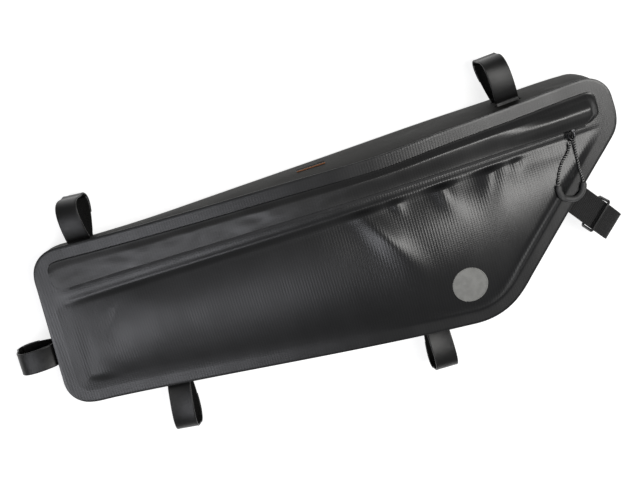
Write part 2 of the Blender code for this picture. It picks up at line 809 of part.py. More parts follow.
def curve_through(points, per_span):
    """Points of one smooth curve through a route."""
    found = []
    last = len(points) - 1
    for index in range(last):
        before = points[max(index - 1, 0)]
        start, end = points[index], points[index + 1]
        after = points[min(index + 2, last)]
        for step in range(per_span):
            s = step / per_span
            found.append(0.5 * ((2.0 * start) + (end - before) * s
                                + (2.0 * before - 5.0 * start + 4.0 * end - after) * s ** 2
                                + (3.0 * start - before - 3.0 * end + after) * s ** 3))
    found.append(points[-1].copy())
    return found


def surface_height(tree, x, y):
    spot = tree.ray_cast(Vector((x, y, 1.0)), Vector((0.0, 0.0, -1.0)))[0]
    return rim_height(x) if spot is None else spot.z


def tube(name, points, diameter, finish, resolution):
    """A round tube along a run of points, closed at both ends."""
    curve = bpy.data.curves.new(name, "CURVE")
    curve.dimensions = "3D"
    curve.bevel_depth = 0.5 * diameter
    curve.bevel_resolution = resolution
    curve.use_fill_caps = True
    spline = curve.splines.new("POLY")
    spline.points.add(len(points) - 1)
    for knot, point in zip(spline.points, points):
        knot.co = (*point, 1.0)
    drawn = bpy.data.objects.new(name + "_line", curve)
    PARTS.objects.link(drawn)
    graph = bpy.context.evaluated_depsgraph_get()
    mesh = bpy.data.meshes.new_from_object(drawn.evaluated_get(graph))
    bm = bmesh.new()
    bm.from_mesh(mesh)
    bmesh.ops.remove_doubles(bm, verts=bm.verts, dist=WELD)
    bmesh.ops.recalc_face_normals(bm, faces=bm.faces)
    bpy.data.objects.remove(drawn, do_unlink=True)
    bpy.data.meshes.remove(mesh)
    return new_object(name, bm, finish)


def pull_cord(tree):
    """A thin cord loop from the slider's eye, lying over the face, with a rubber grip at its end."""
    lift = 0.5 * CORD_DIAMETER + GAP
    grip_lift = 0.5 * GRIP_DIAMETER + GAP
    flat = curve_through([Vector((x * BAG_LENGTH, y * BAG_HEIGHT)) for x, y in CORD_ROUTE], CORD_STEPS)
    spot = slider_spot()
    start_height = spot.z + 0.5 * SLIDER_HEIGHT
    last = len(flat) - 1
    route = []
    for index, point in enumerate(flat):
        share = index / last
        from_end = min(share, 1.0 - share)
        past_grip = abs(share - 0.5 * sum(GRIP_SPAN)) - 0.5 * (GRIP_SPAN[1] - GRIP_SPAN[0])
        in_grip = 1.0 - ease(past_grip / GRIP_EASE)
        laid = surface_height(tree, point.x, point.y) + lift + (grip_lift - lift) * in_grip
        hang = max(start_height, laid)
        height = laid + (hang - laid) * (1.0 - ease(from_end / CORD_HANG))
        route.append(Vector((point.x, point.y, height)))
    first = round(GRIP_SPAN[0] * last)
    final = round(GRIP_SPAN[1] * last)
    return route, first, final


def hollow_grip(route):
    """The rubber grip: a tube round the cord, open at both ends."""
    rows = []
    count = len(route)
    up = Vector((0.0, 0.0, 1.0))
    bore = 0.5 * CORD_DIAMETER + GAP
    stations = [(index, bore) for index in range(count)]
    stations += [(index, 0.5 * GRIP_DIAMETER) for index in reversed(range(count))]
    for index, radius in stations:
        along = (route[min(index + 1, count - 1)] - route[max(index - 1, 0)]).normalized()
        side = along.cross(up).normalized()
        normal = side.cross(along)
        rows.append([route[index] + (side * math.cos(angle) + normal * math.sin(angle)) * radius
                     for angle in (2.0 * math.pi * step / GRIP_SIDES for step in range(GRIP_SIDES))])
    rows.append(rows[0])
    bm = surface(rows, closed_rows=True)
    bmesh.ops.remove_doubles(bm, verts=bm.verts, dist=WELD)
    bmesh.ops.recalc_face_normals(bm, faces=bm.faces)
    return new_object("pull_grip", bm, GRIP_RUBBER)


def badge(tree):
    """A thin round badge that follows the face."""
    centre = Vector((BADGE_AT[0] * BAG_LENGTH, BADGE_AT[1] * BAG_HEIGHT))
    bm = bmesh.new()
    bmesh.ops.create_grid(bm, x_segments=BADGE_STEPS, y_segments=BADGE_STEPS, size=1.0)
    for vert in bm.verts:
        u, v = vert.co.x, vert.co.y
        disc = Vector((u * math.sqrt(1.0 - 0.5 * v * v), v * math.sqrt(1.0 - 0.5 * u * u)))
        spot = centre + disc * BADGE_RADIUS
        vert.co = (spot.x, spot.y, surface_height(tree, spot.x, spot.y) + BADGE_SEAT)
    bmesh.ops.recalc_face_normals(bm, faces=bm.faces)
    if sum(face.normal.z for face in bm.faces) < 0.0:
        bmesh.ops.reverse_faces(bm, faces=bm.faces)
    return solidify(new_object("badge", bm, BADGE_PRINT), BADGE_WALL, 1.0)


def cable_port(holder):
    """The covered slit for a cable in the top gusset, with a lip along its lower side."""
    seat = Seat(PORT_AT, 0.95, share=PORT_SHARE)
    axes = (seat.along, seat.out, seat.up)
    cut(holder, box_cutter("port_slit", seat.middle, axes, (PORT_LENGTH, CUT_DEPTH, PORT_SLIT)))
    below = (0.5 * PORT_LIP_WIDTH + PORT_SLIT) / depth_at(seat.middle.x)
    lip_seat = Seat(PORT_AT, 0.95, share=PORT_SHARE + below)
    centre = lip_seat.middle + lip_seat.out * (0.5 * PORT_LIP_WALL + 2.0 * GAP)
    bm = bmesh.new()
    bmesh.ops.create_cube(bm, size=1.0)
    half_slope = (gusset_slope(lip_seat) * PORT_LIP_WIDTH)
    for vert in bm.verts:
        share = vert.co.copy()
        vert.co = (centre + lip_seat.along * (share.x * PORT_LENGTH) + lip_seat.out * (share.y * PORT_LIP_WALL)
                   + (lip_seat.up * PORT_LIP_WIDTH + lip_seat.out * half_slope) * share.z)
    bmesh.ops.recalc_face_normals(bm, faces=bm.faces)
    return new_object("cable_port_lip", bm, PORT_ACCENT)


def gusset_slope(seat):
    """How far the gusset leans out for each metre up, at a seat on the top edge."""
    x = seat.middle.x
    index = min(range(HALF_COUNT), key=lambda i: abs(FRONT_OUTLINE[i].x - x))
    low = gusset_point(index, 0.5)
    high = gusset_point(index, 0.8)
    return (high.y - low.y) / (high.z - low.z)


def tree_of(made):
    graph = bpy.context.evaluated_depsgraph_get()
    return BVHTree.FromObject(made, graph)


def recentre(left_out):
    """Moves everything so that the origin is at the middle of the base."""
    graph = bpy.context.evaluated_depsgraph_get()
    low = Vector((1.0, 1.0, 1.0))
    high = -low
    for made in PARTS.objects:
        if made.name in left_out:
            continue
        shape = made.evaluated_get(graph)
        for corner in shape.bound_box:
            for axis in range(3):
                low[axis] = min(low[axis], corner[axis])
                high[axis] = max(high[axis], corner[axis])
    shift = Vector((-(low.x + high.x) / 2.0, -(low.y + high.y) / 2.0, -low.z))
    for made in list(PARTS.objects) + list(CUTTERS.objects):
        made.location = made.location + shift


clear_scene()
PARTS = new_collection("bicycle_frame_bag")
CUTTERS = new_collection("cutters")
FRONT_INSET = inset(FRONT_OUTLINE, RIM_STANDOFF)
BACK_INSET = inset(BACK_OUTLINE, RIM_STANDOFF)
FRONT_NORMALS = inward_normals(FRONT_OUTLINE)


def build():
    panel = front_panel()
    back_panel()
    holders = gussets()
    straps(holders)
    front_strap(holders)
    zip_tape()
    zip_flap()
    zip_slider()
    face = tree_of(panel)
    route, first, final = pull_cord(face)
    tube("pull_cord", route, CORD_DIAMETER, CORD_FIBRE, 2)
    hollow_grip(route[first:final + 1])
    badge(face)
    cable_port(holders["top_gusset"])
    recentre(("pull_cord", "pull_grip"))


build()
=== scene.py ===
"""Looks of the bicycle frame bag: welded laminate, strap loops, the zip under its flap and the cord pull."""

import math
from collections import namedtuple

import bmesh
import bpy
from mathutils import Matrix, Vector, noise
from mathutils.bvhtree import BVHTree
from mathutils.kdtree import KDTree


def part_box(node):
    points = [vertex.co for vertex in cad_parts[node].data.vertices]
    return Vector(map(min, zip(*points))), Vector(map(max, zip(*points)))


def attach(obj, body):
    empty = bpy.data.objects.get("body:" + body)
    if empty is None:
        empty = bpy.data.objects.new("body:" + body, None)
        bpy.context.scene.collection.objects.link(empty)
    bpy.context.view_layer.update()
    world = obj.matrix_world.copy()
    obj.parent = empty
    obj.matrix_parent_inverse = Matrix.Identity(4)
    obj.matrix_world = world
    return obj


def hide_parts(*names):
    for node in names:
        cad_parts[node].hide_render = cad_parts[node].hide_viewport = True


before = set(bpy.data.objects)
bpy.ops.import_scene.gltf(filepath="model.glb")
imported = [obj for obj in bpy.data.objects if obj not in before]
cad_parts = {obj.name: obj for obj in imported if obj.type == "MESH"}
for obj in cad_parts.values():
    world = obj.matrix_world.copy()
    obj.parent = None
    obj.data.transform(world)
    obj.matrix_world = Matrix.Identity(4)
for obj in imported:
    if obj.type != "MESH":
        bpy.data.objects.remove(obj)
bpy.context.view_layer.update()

# The bag in the row frame: its rear edge, its lowest edge and the sizes that shares refer to
BAG_REAR = -0.23827
BAG_LOWEST = -0.08716
BAG_LENGTH = 0.509
BAG_HEIGHT = 0.177
WALL = 0.0014
GAP = 0.0003

# Outline and rings
HALF_STEPS = 170
RIM_WIDTH = 0.0100
RIM_STANDOFF = 0.0030
GUSSET_PUFF = 0.0015
SPINE = ((0.130, 0.545), (0.905, 0.720))
FACE_RING_COUNT = 24

# Face
FACE_BULGE = 0.0084
REAR_RUN = 0.080
BOTTOM_RUN = 0.060
NOSE_FALL = 0.80
NOSE_FALL_FROM = 0.52
NOSE_FALL_TO = 0.97
EDGE_RUN_REAR = 0.024
EDGE_RUN_NOSE = 0.012
SHOULDER_REAR = 0.0003
SHOULDER_NOSE = 0.0030
SHOULDER_RUN = 0.0075
STRIP_ROLL = 0.0006
CREASE_REAR = 0.0122
CREASE_NOSE = 0.0070
CREASE_DIP = 0.0004
CREASE_LIP = 0.12
CREASE_LIP_RUN = 0.006
CREASE_RUN_REAR = 0.105
CREASE_RUN_NOSE = 0.068
SWELL_LIMIT = 0.0012

# Flap
FLAP_WALL = 0.0012
FLAP_RISE_REAR = 0.0012
FLAP_RISE = 0.0034
FLAP_DROOP = 0.0018
HOOD_RISE = 0.0050
HOOD_FROM = 0.79
HOOD_FULL = 0.92
FLAP_CORNER = 0.0085
FLAP_SEAM = 0.0010

# Zip and pull
CORD_DIAMETER = 0.0018
GRIP_DIAMETER = 0.0050

# Straps
STRAP_WIDTH = 0.020
STRAP_WALL = 0.0016
WEBBING_WIDTH = 0.025
WEBBING_WALL = 0.0018
STRAP_NECK = 0.0015
REAR_DEPTH = 0.022
RING_WIRE = 0.0024
RING_AT = 0.62

Fold = namedtuple("Fold", "x y half_length half_width turn height")
FOLDS = (
    # centre as shares of length and height, half sizes in metres, turn of the long way from the
    # bag's length in degrees, height in metres (below zero for a hollow)
    Fold(0.582, 0.575, 0.038, 0.0100, -60.0, 0.0038),
    Fold(0.616, 0.705, 0.011, 0.0055, -70.0, 0.0022),
    Fold(0.694, 0.700, 0.019, 0.0090, -76.0, 0.0042),
    Fold(0.776, 0.705, 0.021, 0.0095, -104.0, 0.0040),
    Fold(0.822, 0.725, 0.010, 0.0050, -95.0, 0.0014),
    Fold(0.075, 0.215, 0.016, 0.0070, -38.0, 0.0016),
    Fold(0.180, 0.560, 0.040, 0.0160, -30.0, 0.0007),
    Fold(0.120, 0.400, 0.030, 0.0140, -50.0, -0.0007),
)

Strap = namedtuple("Strap", "name node gusset x y reach half_depth twist lean")
STRAPS = (
    # x and y as shares of the bag's length and height, reach and half depth as shares of the
    # strap's width, twist and lean in degrees
    Strap("strap_top_rear", "top_rear_strap", "gusset_top", 0.103, 0.89, 1.800, 0.585, 20.0, 4.0),
    Strap("strap_top_front", "top_front_strap", "gusset_top", 0.839, 0.97, 1.925, 0.600, -10.0, -6.0),
    Strap("strap_rear", "rear_strap", "gusset_rear", 0.008, 0.395, 1.700, 0.575, 4.0, -3.6),
    Strap("strap_bottom_rear", "bottom_rear_strap", "gusset_bottom", 0.186, 0.10, 2.225, 0.625, -8.0, 1.3),
    Strap("strap_bottom_front", "bottom_front_strap", "gusset_bottom", 0.633, 0.03, 2.0, 0.635, 8.0, -1.4),
)
WIDE_STRAP = Strap("strap_front", "front_strap", "gusset_front", 0.903, 0.463, 1.960, 0.300, 0.0, 6.8)

CORD_ROUTE = (
    # shares of length and height, from the slider round the grip and back
    (0.9145, 0.729),
    (0.9085, 0.691),
    (0.8927, 0.643),
    (0.8812, 0.585),
    (0.8764, 0.526),
    (0.8818, 0.487),
    (0.8923, 0.468),
    (0.9039, 0.462),
    (0.9157, 0.482),
    (0.9210, 0.516),
    (0.9218, 0.560),
    (0.9200, 0.611),
    (0.9195, 0.669),
    (0.9205, 0.729),
)
GRIP_SPAN = (0.32, 0.67)


def clamp(value, low=0.0, high=1.0):
    return max(low, min(high, value))


def ease(value):
    share = clamp(value)
    return share * share * (3.0 - 2.0 * share)


def hump(value):
    """One at zero, falling softly to nothing on both sides."""
    return math.exp(-value * value)


def place(x_share, y_share):
    return Vector((BAG_REAR + x_share * BAG_LENGTH, BAG_LOWEST + y_share * BAG_HEIGHT))


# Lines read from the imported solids

def rim_edge(node, facing):
    """The outer edge of a panel's rim on its upper (1) or lower (-1) side, as a closed run of points."""
    bm = bmesh.new()
    bm.from_mesh(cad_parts[node].data)
    bmesh.ops.remove_doubles(bm, verts=bm.verts, dist=0.000001)
    bm.normal_update()
    left = set()
    for edge in bm.edges:
        if len(edge.link_faces) == 2:
            side, level = sorted(face.normal.z * facing for face in edge.link_faces)
            if level > 0.8 and abs(side) < 0.3:
                left.add(edge)
    runs = []
    while left:
        edge = left.pop()
        run = list(edge.verts)
        length = edge.calc_length()
        following = edge
        while following is not None:
            following = next((other for other in run[-1].link_edges if other in left), None)
            if following is not None:
                left.discard(following)
                length += following.calc_length()
                run.append(following.other_vert(run[-1]))
        runs.append((length, [vert.co.copy() for vert in run]))
    bm.free()
    run = max(runs, key=lambda item: item[0])[1][:-1]
    turning = sum(a.x * b.y - b.x * a.y for a, b in zip(run, run[1:] + run[:1]))
    return run if turning < 0.0 else run[::-1]


def smooth_run(points, closed, step):
    """A smooth curve through points, in small steps."""
    count = len(points)
    spans = count if closed else count - 1

    def at(index):
        return points[index % count] if closed else points[clamp(index, 0, count - 1)]

    def slope(index):
        here = at(index)
        behind = (here - at(index - 1)).length
        ahead = (at(index + 1) - here).length
        if behind < 1e-9 or ahead < 1e-9:
            return (at(index + 1) - at(index - 1)) / max(behind + ahead, 1e-9)
        leaving, arriving = (at(index + 1) - here) / ahead, (here - at(index - 1)) / behind
        return (leaving * behind + arriving * ahead) / (behind + ahead)

    found = []
    for index in range(spans):
        start, end = at(index), at(index + 1)
        span = (end - start).length
        leave, arrive = slope(index) * span, slope(index + 1) * span
        steps = max(1, round(span / step))
        for part in range(steps):
            s = part / steps
            found.append(start * (2 * s ** 3 - 3 * s ** 2 + 1) + leave * (s ** 3 - 2 * s ** 2 + s)
                         + end * (3 * s ** 2 - 2 * s ** 3) + arrive * (s ** 3 - s ** 2))
    if not closed:
        found.append(points[-1].copy())
    return found


def even_steps(run, count):
    """A run of points again in a number of equal steps, first and last kept."""
    sums = [0.0]
    for a, b in zip(run, run[1:]):
        sums.append(sums[-1] + (b - a).length)
    found = []
    index = 0
    for step in range(count + 1):
        target = sums[-1] * step / count
        while index < len(run) - 2 and sums[index + 1] < target:
            index += 1
        part = (target - sums[index]) / (sums[index + 1] - sums[index])
        found.append(run[index].lerp(run[index + 1], clamp(part)))
    return found


def paired_run(run):
    """The closed run from the middle of the rear edge, over the top to the nose and back below."""
    rear = place(0.0, 0.52)
    nose = place(1.0, 0.87)
    start = min(range(len(run)), key=lambda i: (run[i].to_2d() - rear).length)
    run = run[start:] + run[:start + 1]
    turn = min(range(len(run)), key=lambda i: (run[i].to_2d() - nose).length)
    return even_steps(run[:turn + 1], HALF_STEPS)[:-1] + even_steps(run[turn:], HALF_STEPS)[:-1]


def inward(run):
    """Unit vectors into the bag at each point of a closed run."""
    found = []
    for index in range(len(run)):
        along = (run[(index + 1) % len(run)] - run[index - 1]).to_2d().normalized()
        found.append(Vector((along.y, -along.x)))
    return found


def inset(run, distance):
    return [spot.to_2d() + way * distance for spot, way in zip(run, inward(run))]


FRONT_RIM = paired_run(smooth_run(rim_edge("front_panel", 1), True, 0.001))
BACK_RIM = paired_run(smooth_run(rim_edge("back_panel", -1), True, 0.001))
TOP_HALF = [spot for spot in FRONT_RIM[:HALF_STEPS]]
RIM_TREE = KDTree(len(FRONT_RIM) * 2)
for number, spot in enumerate(FRONT_RIM):
    after = FRONT_RIM[(number + 1) % len(FRONT_RIM)]
    RIM_TREE.insert(Vector((spot.x, spot.y, 0.0)), number)
    RIM_TREE.insert(Vector(((spot.x + after.x) / 2.0, (spot.y + after.y) / 2.0, 0.0)), number)
RIM_TREE.balance()


def along_top(x):
    """The point of the face's top rim at a place along the bag."""
    if x <= TOP_HALF[0].x:
        return TOP_HALF[0]
    for a, b in zip(TOP_HALF, TOP_HALF[1:]):
        if a.x <= x <= b.x:
            return a.lerp(b, (x - a.x) / max(b.x - a.x, 1e-9))
    return max(TOP_HALF, key=lambda spot: spot.x)


RIM_TABLE_STEP = 0.002
RIM_TABLE_SIZE = int(BAG_LENGTH / RIM_TABLE_STEP) + 2
RIM_TABLE = [along_top(BAG_REAR + RIM_TABLE_STEP * step) for step in range(RIM_TABLE_SIZE)]


def top_rim(x):
    place_in = clamp((x - BAG_REAR) / RIM_TABLE_STEP, 0, len(RIM_TABLE) - 1.001)
    index = int(place_in)
    return RIM_TABLE[index].lerp(RIM_TABLE[index + 1], place_in - index)


def rim_height(x):
    return top_rim(x).z


def edge_distance(x, y):
    return RIM_TREE.find(Vector((x, y, 0.0)))[2]


def spine_point(a, b):
    start, end = place(*SPINE[0]), place(*SPINE[1])
    line = end - start
    return start + line * clamp(((a + b) / 2.0 - start).dot(line) / line.length_squared)


def free_edge():
    """The flap's straight lower edge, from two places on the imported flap: its height at x is a + b * x."""
    spots = [vert.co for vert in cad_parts["zip_flap"].data.vertices]
    low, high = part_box("zip_flap")
    found = []
    for share in (0.25, 0.75):
        x = low.x + (high.x - low.x) * share
        near = [spot for spot in spots if abs(spot.x - x) < 0.012]
        found.append(min(near, key=lambda spot: spot.y - 0.18 * spot.x))
    slope = (found[1].y - found[0].y) / (found[1].x - found[0].x)
    return found[0].y - slope * found[0].x, slope


EDGE_BASE, EDGE_SLOPE = free_edge()


def flap_edge(x):
    return EDGE_BASE + EDGE_SLOPE * x


# Mesh helpers

def skin(rows, wrap=False, flip=False):
    """A mesh of quads between rows of points, with the cloth's own across and along as its UV."""
    bm = bmesh.new()
    cloth = bm.loops.layers.uv.new("cloth")
    grid = [[bm.verts.new(point) for point in row] for row in rows]
    across = [[0.0] for _ in rows]
    for number, row in enumerate(rows):
        for a, b in zip(row, row[1:] + row[:1]):
            across[number].append(across[number][-1] + (Vector(b) - Vector(a)).length)
    along = [0.0]
    for a, b in zip(rows, rows[1:]):
        along.append(along[-1] + (Vector(b[0]) - Vector(a[0])).length)
    for number, (upper, lower) in enumerate(zip(grid, grid[1:])):
        steps = len(upper) if wrap else len(upper) - 1
        for step in range(steps):
            after = (step + 1) % len(upper)
            corners = [(number, step, step), (number, after, step + 1),
                       (number + 1, after, step + 1), (number + 1, step, step)]
            if flip:
                corners.reverse()
            verts = [grid[row][column] for row, column, _ in corners]
            if len(set(verts)) < 4:
                continue
            face = bm.faces.new(verts)
            for loop, (row, _, column) in zip(face.loops, corners):
                loop[cloth].uv = (across[row][column], along[row])
    return bm


def piece(name, bm, *finishes, angle=40.0):
    mesh = bpy.data.meshes.new(name)
    bm.to_mesh(mesh)
    bm.free()
    mesh.shade_smooth()
    mesh.set_sharp_from_angle(angle=math.radians(angle))
    for finish in finishes:
        mesh.materials.append(finish)
    made = bpy.data.objects.new(name, mesh)
    bpy.context.scene.collection.objects.link(made)
    return made


def settle(made):
    """Applies a piece's modifiers."""
    graph = bpy.context.evaluated_depsgraph_get()
    mesh = bpy.data.meshes.new_from_object(made.evaluated_get(graph))
    made.modifiers.clear()
    made.data = mesh
    return made


def thicken(made, wall, offset=-1.0):
    shell = made.modifiers.new("wall", "SOLIDIFY")
    shell.thickness = wall
    shell.offset = offset
    shell.use_quality_normals = True
    return made


def soften(made, width, segments=2, angle=50.0):
    rounding = made.modifiers.new("rounding", "BEVEL")
    rounding.width = width
    rounding.segments = segments
    rounding.limit_method = "ANGLE"
    rounding.angle_limit = math.radians(angle)
    rounding.harden_normals = False
    return made


def refine(made, levels=1):
    finer = made.modifiers.new("finer", "SUBSURF")
    finer.levels = levels
    finer.render_levels = levels
    return made


def cut(made, cutter):
    hole = made.modifiers.new("slot", "BOOLEAN")
    hole.operation = "DIFFERENCE"
    hole.solver = "EXACT"
    hole.object = cutter
    settle(made)
    bpy.data.objects.remove(cutter, do_unlink=True)


def box(name, centre, axes, sizes, *finishes):
    bm = bmesh.new()
    bmesh.ops.create_cube(bm, size=1.0)
    for vert in bm.verts:
        shares = vert.co.copy()
        vert.co = centre + sum((axis * (share * size) for axis, share, size in zip(axes, shares, sizes)),
                               Vector((0.0, 0.0, 0.0)))
    return piece(name, bm, *finishes)


def seat_on(made, *nodes):
    """Puts a piece on the bag's body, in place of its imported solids."""
    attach(made, "root")
    if nodes:
        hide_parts(*nodes)
    return made


# Finishes

class Tone:
    """One value, colour or vector inside a finish. The usual operators on it add the finish's nodes."""

    def __init__(self, finish, socket):
        self.finish = finish
        self.socket = socket

    def _is_number(self):
        return self.socket.type == "VALUE"

    def _work(self, operation, first, second):
        vector = any(isinstance(item, Tone) and not item._is_number() for item in (first, second))
        kind = "VectorMath" if vector else "Math"
        return self.finish.node(kind, {"operation": operation}, {0: first, 1: second})

    def __add__(self, other):
        return self._work("ADD", self, other)

    __radd__ = __add__

    def __sub__(self, other):
        return self._work("SUBTRACT", self, other)

    def __rsub__(self, other):
        return self._work("SUBTRACT", other, self)

    def __mul__(self, other):
        return self._work("MULTIPLY", self, other)

    __rmul__ = __mul__

    def __truediv__(self, other):
        return self._work("DIVIDE", self, other)

    def __rtruediv__(self, other):
        return self._work("DIVIDE", other, self)

    def __pow__(self, other):
        return self._work("POWER", self, other)

    def sine(self):
        return self._work("SINE", self, 0.0)

    def size(self):
        return self._work("ABSOLUTE", self, 0.0)

    def least(self, other):
        return self._work("MINIMUM", self, other)

    def most(self, other):
        return self._work("MAXIMUM", self, other)

    def part(self, axis):
        return self.finish.node("SeparateXYZ", {}, {0: self}, axis)

    def between(self, low, high):
        """Nothing below one limit, all above the other, and soft between them."""
        return self.finish.node("MapRange", {"interpolation_type": "SMOOTHSTEP"},
                                {"Value": self, "From Min": low, "From Max": high})

    def pick(self, low, high):
        """The colour or value at 0 and at 1, mixed by this one."""
        colours = any(isinstance(item, (tuple, Tone)) and (isinstance(item, tuple) or not item._is_number())
                      for item in (low, high))
        if colours:
            return self.finish.node("Mix", {"data_type": "RGBA"}, {0: self, 6: low, 7: high}, 2)
        return self.finish.node("Mix", {"data_type": "FLOAT"}, {0: self, 2: low, 3: high}, 0)


SOCKETS = {"specular": "Specular IOR Level", "metallic": "Metallic", "glow": "Emission Strength"}


class Finish:
    """A material in the making."""

    def __init__(self, name, **numbers):
        self.material = bpy.data.materials.new(name)
        self.material.use_nodes = True
        self.tree = self.material.node_tree
        self.shader = self.tree.nodes["Principled BSDF"]
        for key, value in numbers.items():
            self.shader.inputs[SOCKETS[key]].default_value = value

    def feed(self, socket, value):
        if isinstance(value, Tone):
            self.tree.links.new(value.socket, socket)
        elif isinstance(value, tuple) and socket.type == "RGBA":
            socket.default_value = (*value, 1.0)
        elif isinstance(value, (int, float)) and socket.type == "VECTOR":
            socket.default_value = (value, value, value)
        else:
            socket.default_value = value

    def node(self, kind, settings, values, out=0):
        """Any node: its settings first, then its sockets' values or links."""
        made = self.tree.nodes.new("ShaderNode" + kind)
        for key, value in settings.items():
            setattr(made, key, value)
        for key, value in values.items():
            self.feed(made.inputs[key], value)
        return Tone(self, made.outputs[out])

    def spot(self):
        """The place on the bag, in metres."""
        return self.node("TexCoord", {}, {}, "Object")

    def cloth(self):
        """The place on the piece's own cloth: across and along, in metres."""
        return self.node("UVMap", {"uv_map": "cloth"}, {})

    def mark(self, name):
        return self.node("Attribute", {"attribute_name": name}, {}, "Fac")

    def grain(self, scale, detail=3.0, rough=0.55, at=None, stretch=(1.0, 1.0, 1.0)):
        """Soft random variation from 0 to 1."""
        spot = (at or self.spot()) * stretch
        values = {"Vector": spot, "Scale": scale, "Detail": detail, "Roughness": rough}
        return self.node("TexNoise", {}, values)

    def done(self, colour, roughness, relief=None, strength=1.0):
        self.feed(self.shader.inputs["Base Color"], colour)
        self.feed(self.shader.inputs["Roughness"], roughness)
        if relief is not None:
            bump = self.node("Bump", {}, {"Height": relief, "Distance": 1.0, "Strength": strength})
            self.feed(self.shader.inputs["Normal"], bump)
        return self.material


RIB_PITCH = 0.0023
DASH_PITCH = 0.0017


def ribs(finish, pitch, dash, wander=0.00012):
    """Raised ribs up the laminate with a faint cross dash, 0 to 1."""
    spot = finish.spot()
    drift = (finish.grain(9.0, 2.0) - 0.5) * wander * 8.0
    x = spot.part(0) + drift
    rib = (x * (2.0 * math.pi / pitch)).sine() * 0.5 + 0.5
    cross = (spot.part(1) * (2.0 * math.pi / dash)).sine() * 0.5 + 0.5
    return (rib ** 1.4) * 0.85 + cross * 0.15


def laminate(name, colour, rib_height, roughness, sheen=0.5):
    """Coated laminate: semi-gloss film over a ribbed cloth, with soft handling marks and painted shade in the
    valleys between the ribs.
    """
    finish = Finish(name, specular=sheen)
    rib = ribs(finish, RIB_PITCH, DASH_PITCH)
    cloud = finish.grain(14.0, 4.0)
    fine = finish.grain(900.0, 2.0)
    smear = finish.grain(45.0, 3.0, stretch=(1.0, 0.35, 1.0))
    flat = finish.mark("welded")
    height = rib * (rib_height * (1.0 - flat * 0.55)) + fine * 0.000005 + smear * 0.00018
    tone = cloud.between(0.3, 0.7).pick(colour, tuple(value * 1.22 for value in colour))
    # painted shade: the colour is up to a quarter darker in the valleys between the ribs
    painted_rib_shade = (rib * 0.35 + 0.75).least(1.0)
    gloss = smear.between(0.25, 0.8) * 0.07 + fine * 0.05 + roughness - 0.06
    rubbed = (1.0 - finish.spot().part(0).between(-0.10, 0.06)) * (1.0 - flat)
    return finish.done(tone * painted_rib_shade, gloss + flat * 0.02 + rubbed * 0.09, height)


def gusset_cloth():
    """The gusset's matt coated cloth, a little browner, with a fine even grain."""
    finish = Finish("gusset_cloth", specular=0.20)
    spot = finish.cloth()
    turn = 2.0 * math.pi / 0.0009
    weave = (spot.part(0) * turn).sine() * (spot.part(1) * turn).sine()
    cloud = finish.grain(18.0, 4.0)
    scuff = finish.grain(70.0, 3.0, stretch=(0.3, 1.0, 1.0)).between(0.56, 0.75)
    tone = cloud.between(0.3, 0.7).pick((0.014, 0.0137, 0.0120), (0.020, 0.0196, 0.0174))
    rough = cloud * 0.10 + 0.60 - scuff * 0.08
    return finish.done(scuff.pick(tone, (0.026, 0.0255, 0.0228)), rough,
                       weave * 0.000035 + finish.grain(26.0, 3.0) * 0.0009)


def strap_satin():
    """The straps' outer side: tight black satin weave with bound edges."""
    finish = Finish("strap_satin", specular=0.46)
    spot = finish.cloth()
    across, along = spot.part(0), spot.part(1)
    twill = ((across + along * 0.6) * (2.0 * math.pi / 0.0011)).sine() * 0.5 + 0.5
    weft = (along * (2.0 * math.pi / 0.0007)).sine() * 0.5 + 0.5
    worn = finish.grain(60.0, 4.0).between(0.5, 0.8)
    tone = (twill * 0.5 + weft * 0.5).pick((0.004, 0.004, 0.004), (0.011, 0.011, 0.011))
    rough = 0.36 + worn * 0.08 + weft * 0.04
    return finish.done(tone, rough, twill * 0.00003 + weft * 0.00003 + finish.grain(35.0) * 0.0004)


def strap_pile():
    """The straps' inner side: short looped pile."""
    finish = Finish("strap_pile", specular=0.2)
    pile = finish.grain(1600.0, 2.0)
    clump = finish.grain(500.0, 2.0)
    tone = pile.between(0.3, 0.75).pick((0.003, 0.003, 0.003), (0.016, 0.016, 0.0155))
    return finish.done(tone, 0.85 + clump * 0.1, pile * 0.0004 + clump * 0.0003)


def ribbed_webbing():
    """The wide strap: coarse webbing with ribs across its width and a flat selvage."""
    finish = Finish("ribbed_webbing", specular=0.4)
    spot = finish.cloth()
    across, along = spot.part(0), spot.part(1)
    rib = (along * (2.0 * math.pi / 0.0016)).sine() * 0.5 + 0.5
    thread = (across * (2.0 * math.pi / 0.0010)).sine() * 0.5 + 0.5
    fuzz = finish.grain(700.0, 2.0)
    tone = (rib * 0.6 + thread * 0.4).pick((0.004, 0.004, 0.004), (0.014, 0.014, 0.014))
    return finish.done(tone, 0.55 + fuzz * 0.2, (rib ** 0.7) * 0.00022 + thread * 0.00010 + fuzz * 0.00005)


def moulded(name, colour, roughness):
    """Moulded plastic or rubber with a fine spark texture and rubbed spots."""
    finish = Finish(name, specular=0.5)
    spark = finish.grain(1400.0, 2.0)
    rub = finish.grain(120.0, 3.0).between(0.5, 0.75)
    lighter = tuple(min(1.0, value * 1.6 + 0.004) for value in colour)
    return finish.done(rub.pick(colour, lighter), roughness + spark * 0.08 - rub * 0.06, spark * 0.00003)


def gunmetal():
    """The slider's dark plated metal, bright where it is rubbed."""
    finish = Finish("gunmetal", metallic=1.0)
    scratch = finish.grain(400.0, 3.0, stretch=(1.0, 0.08, 1.0)).between(0.52, 0.70)
    rub = finish.grain(220.0, 3.0).between(0.45, 0.75)
    tone = (scratch * 0.5 + rub * 0.5).pick((0.012, 0.012, 0.013), (0.17, 0.17, 0.175))
    return finish.done(tone, 0.28 + rub * 0.15, scratch * -0.00004)


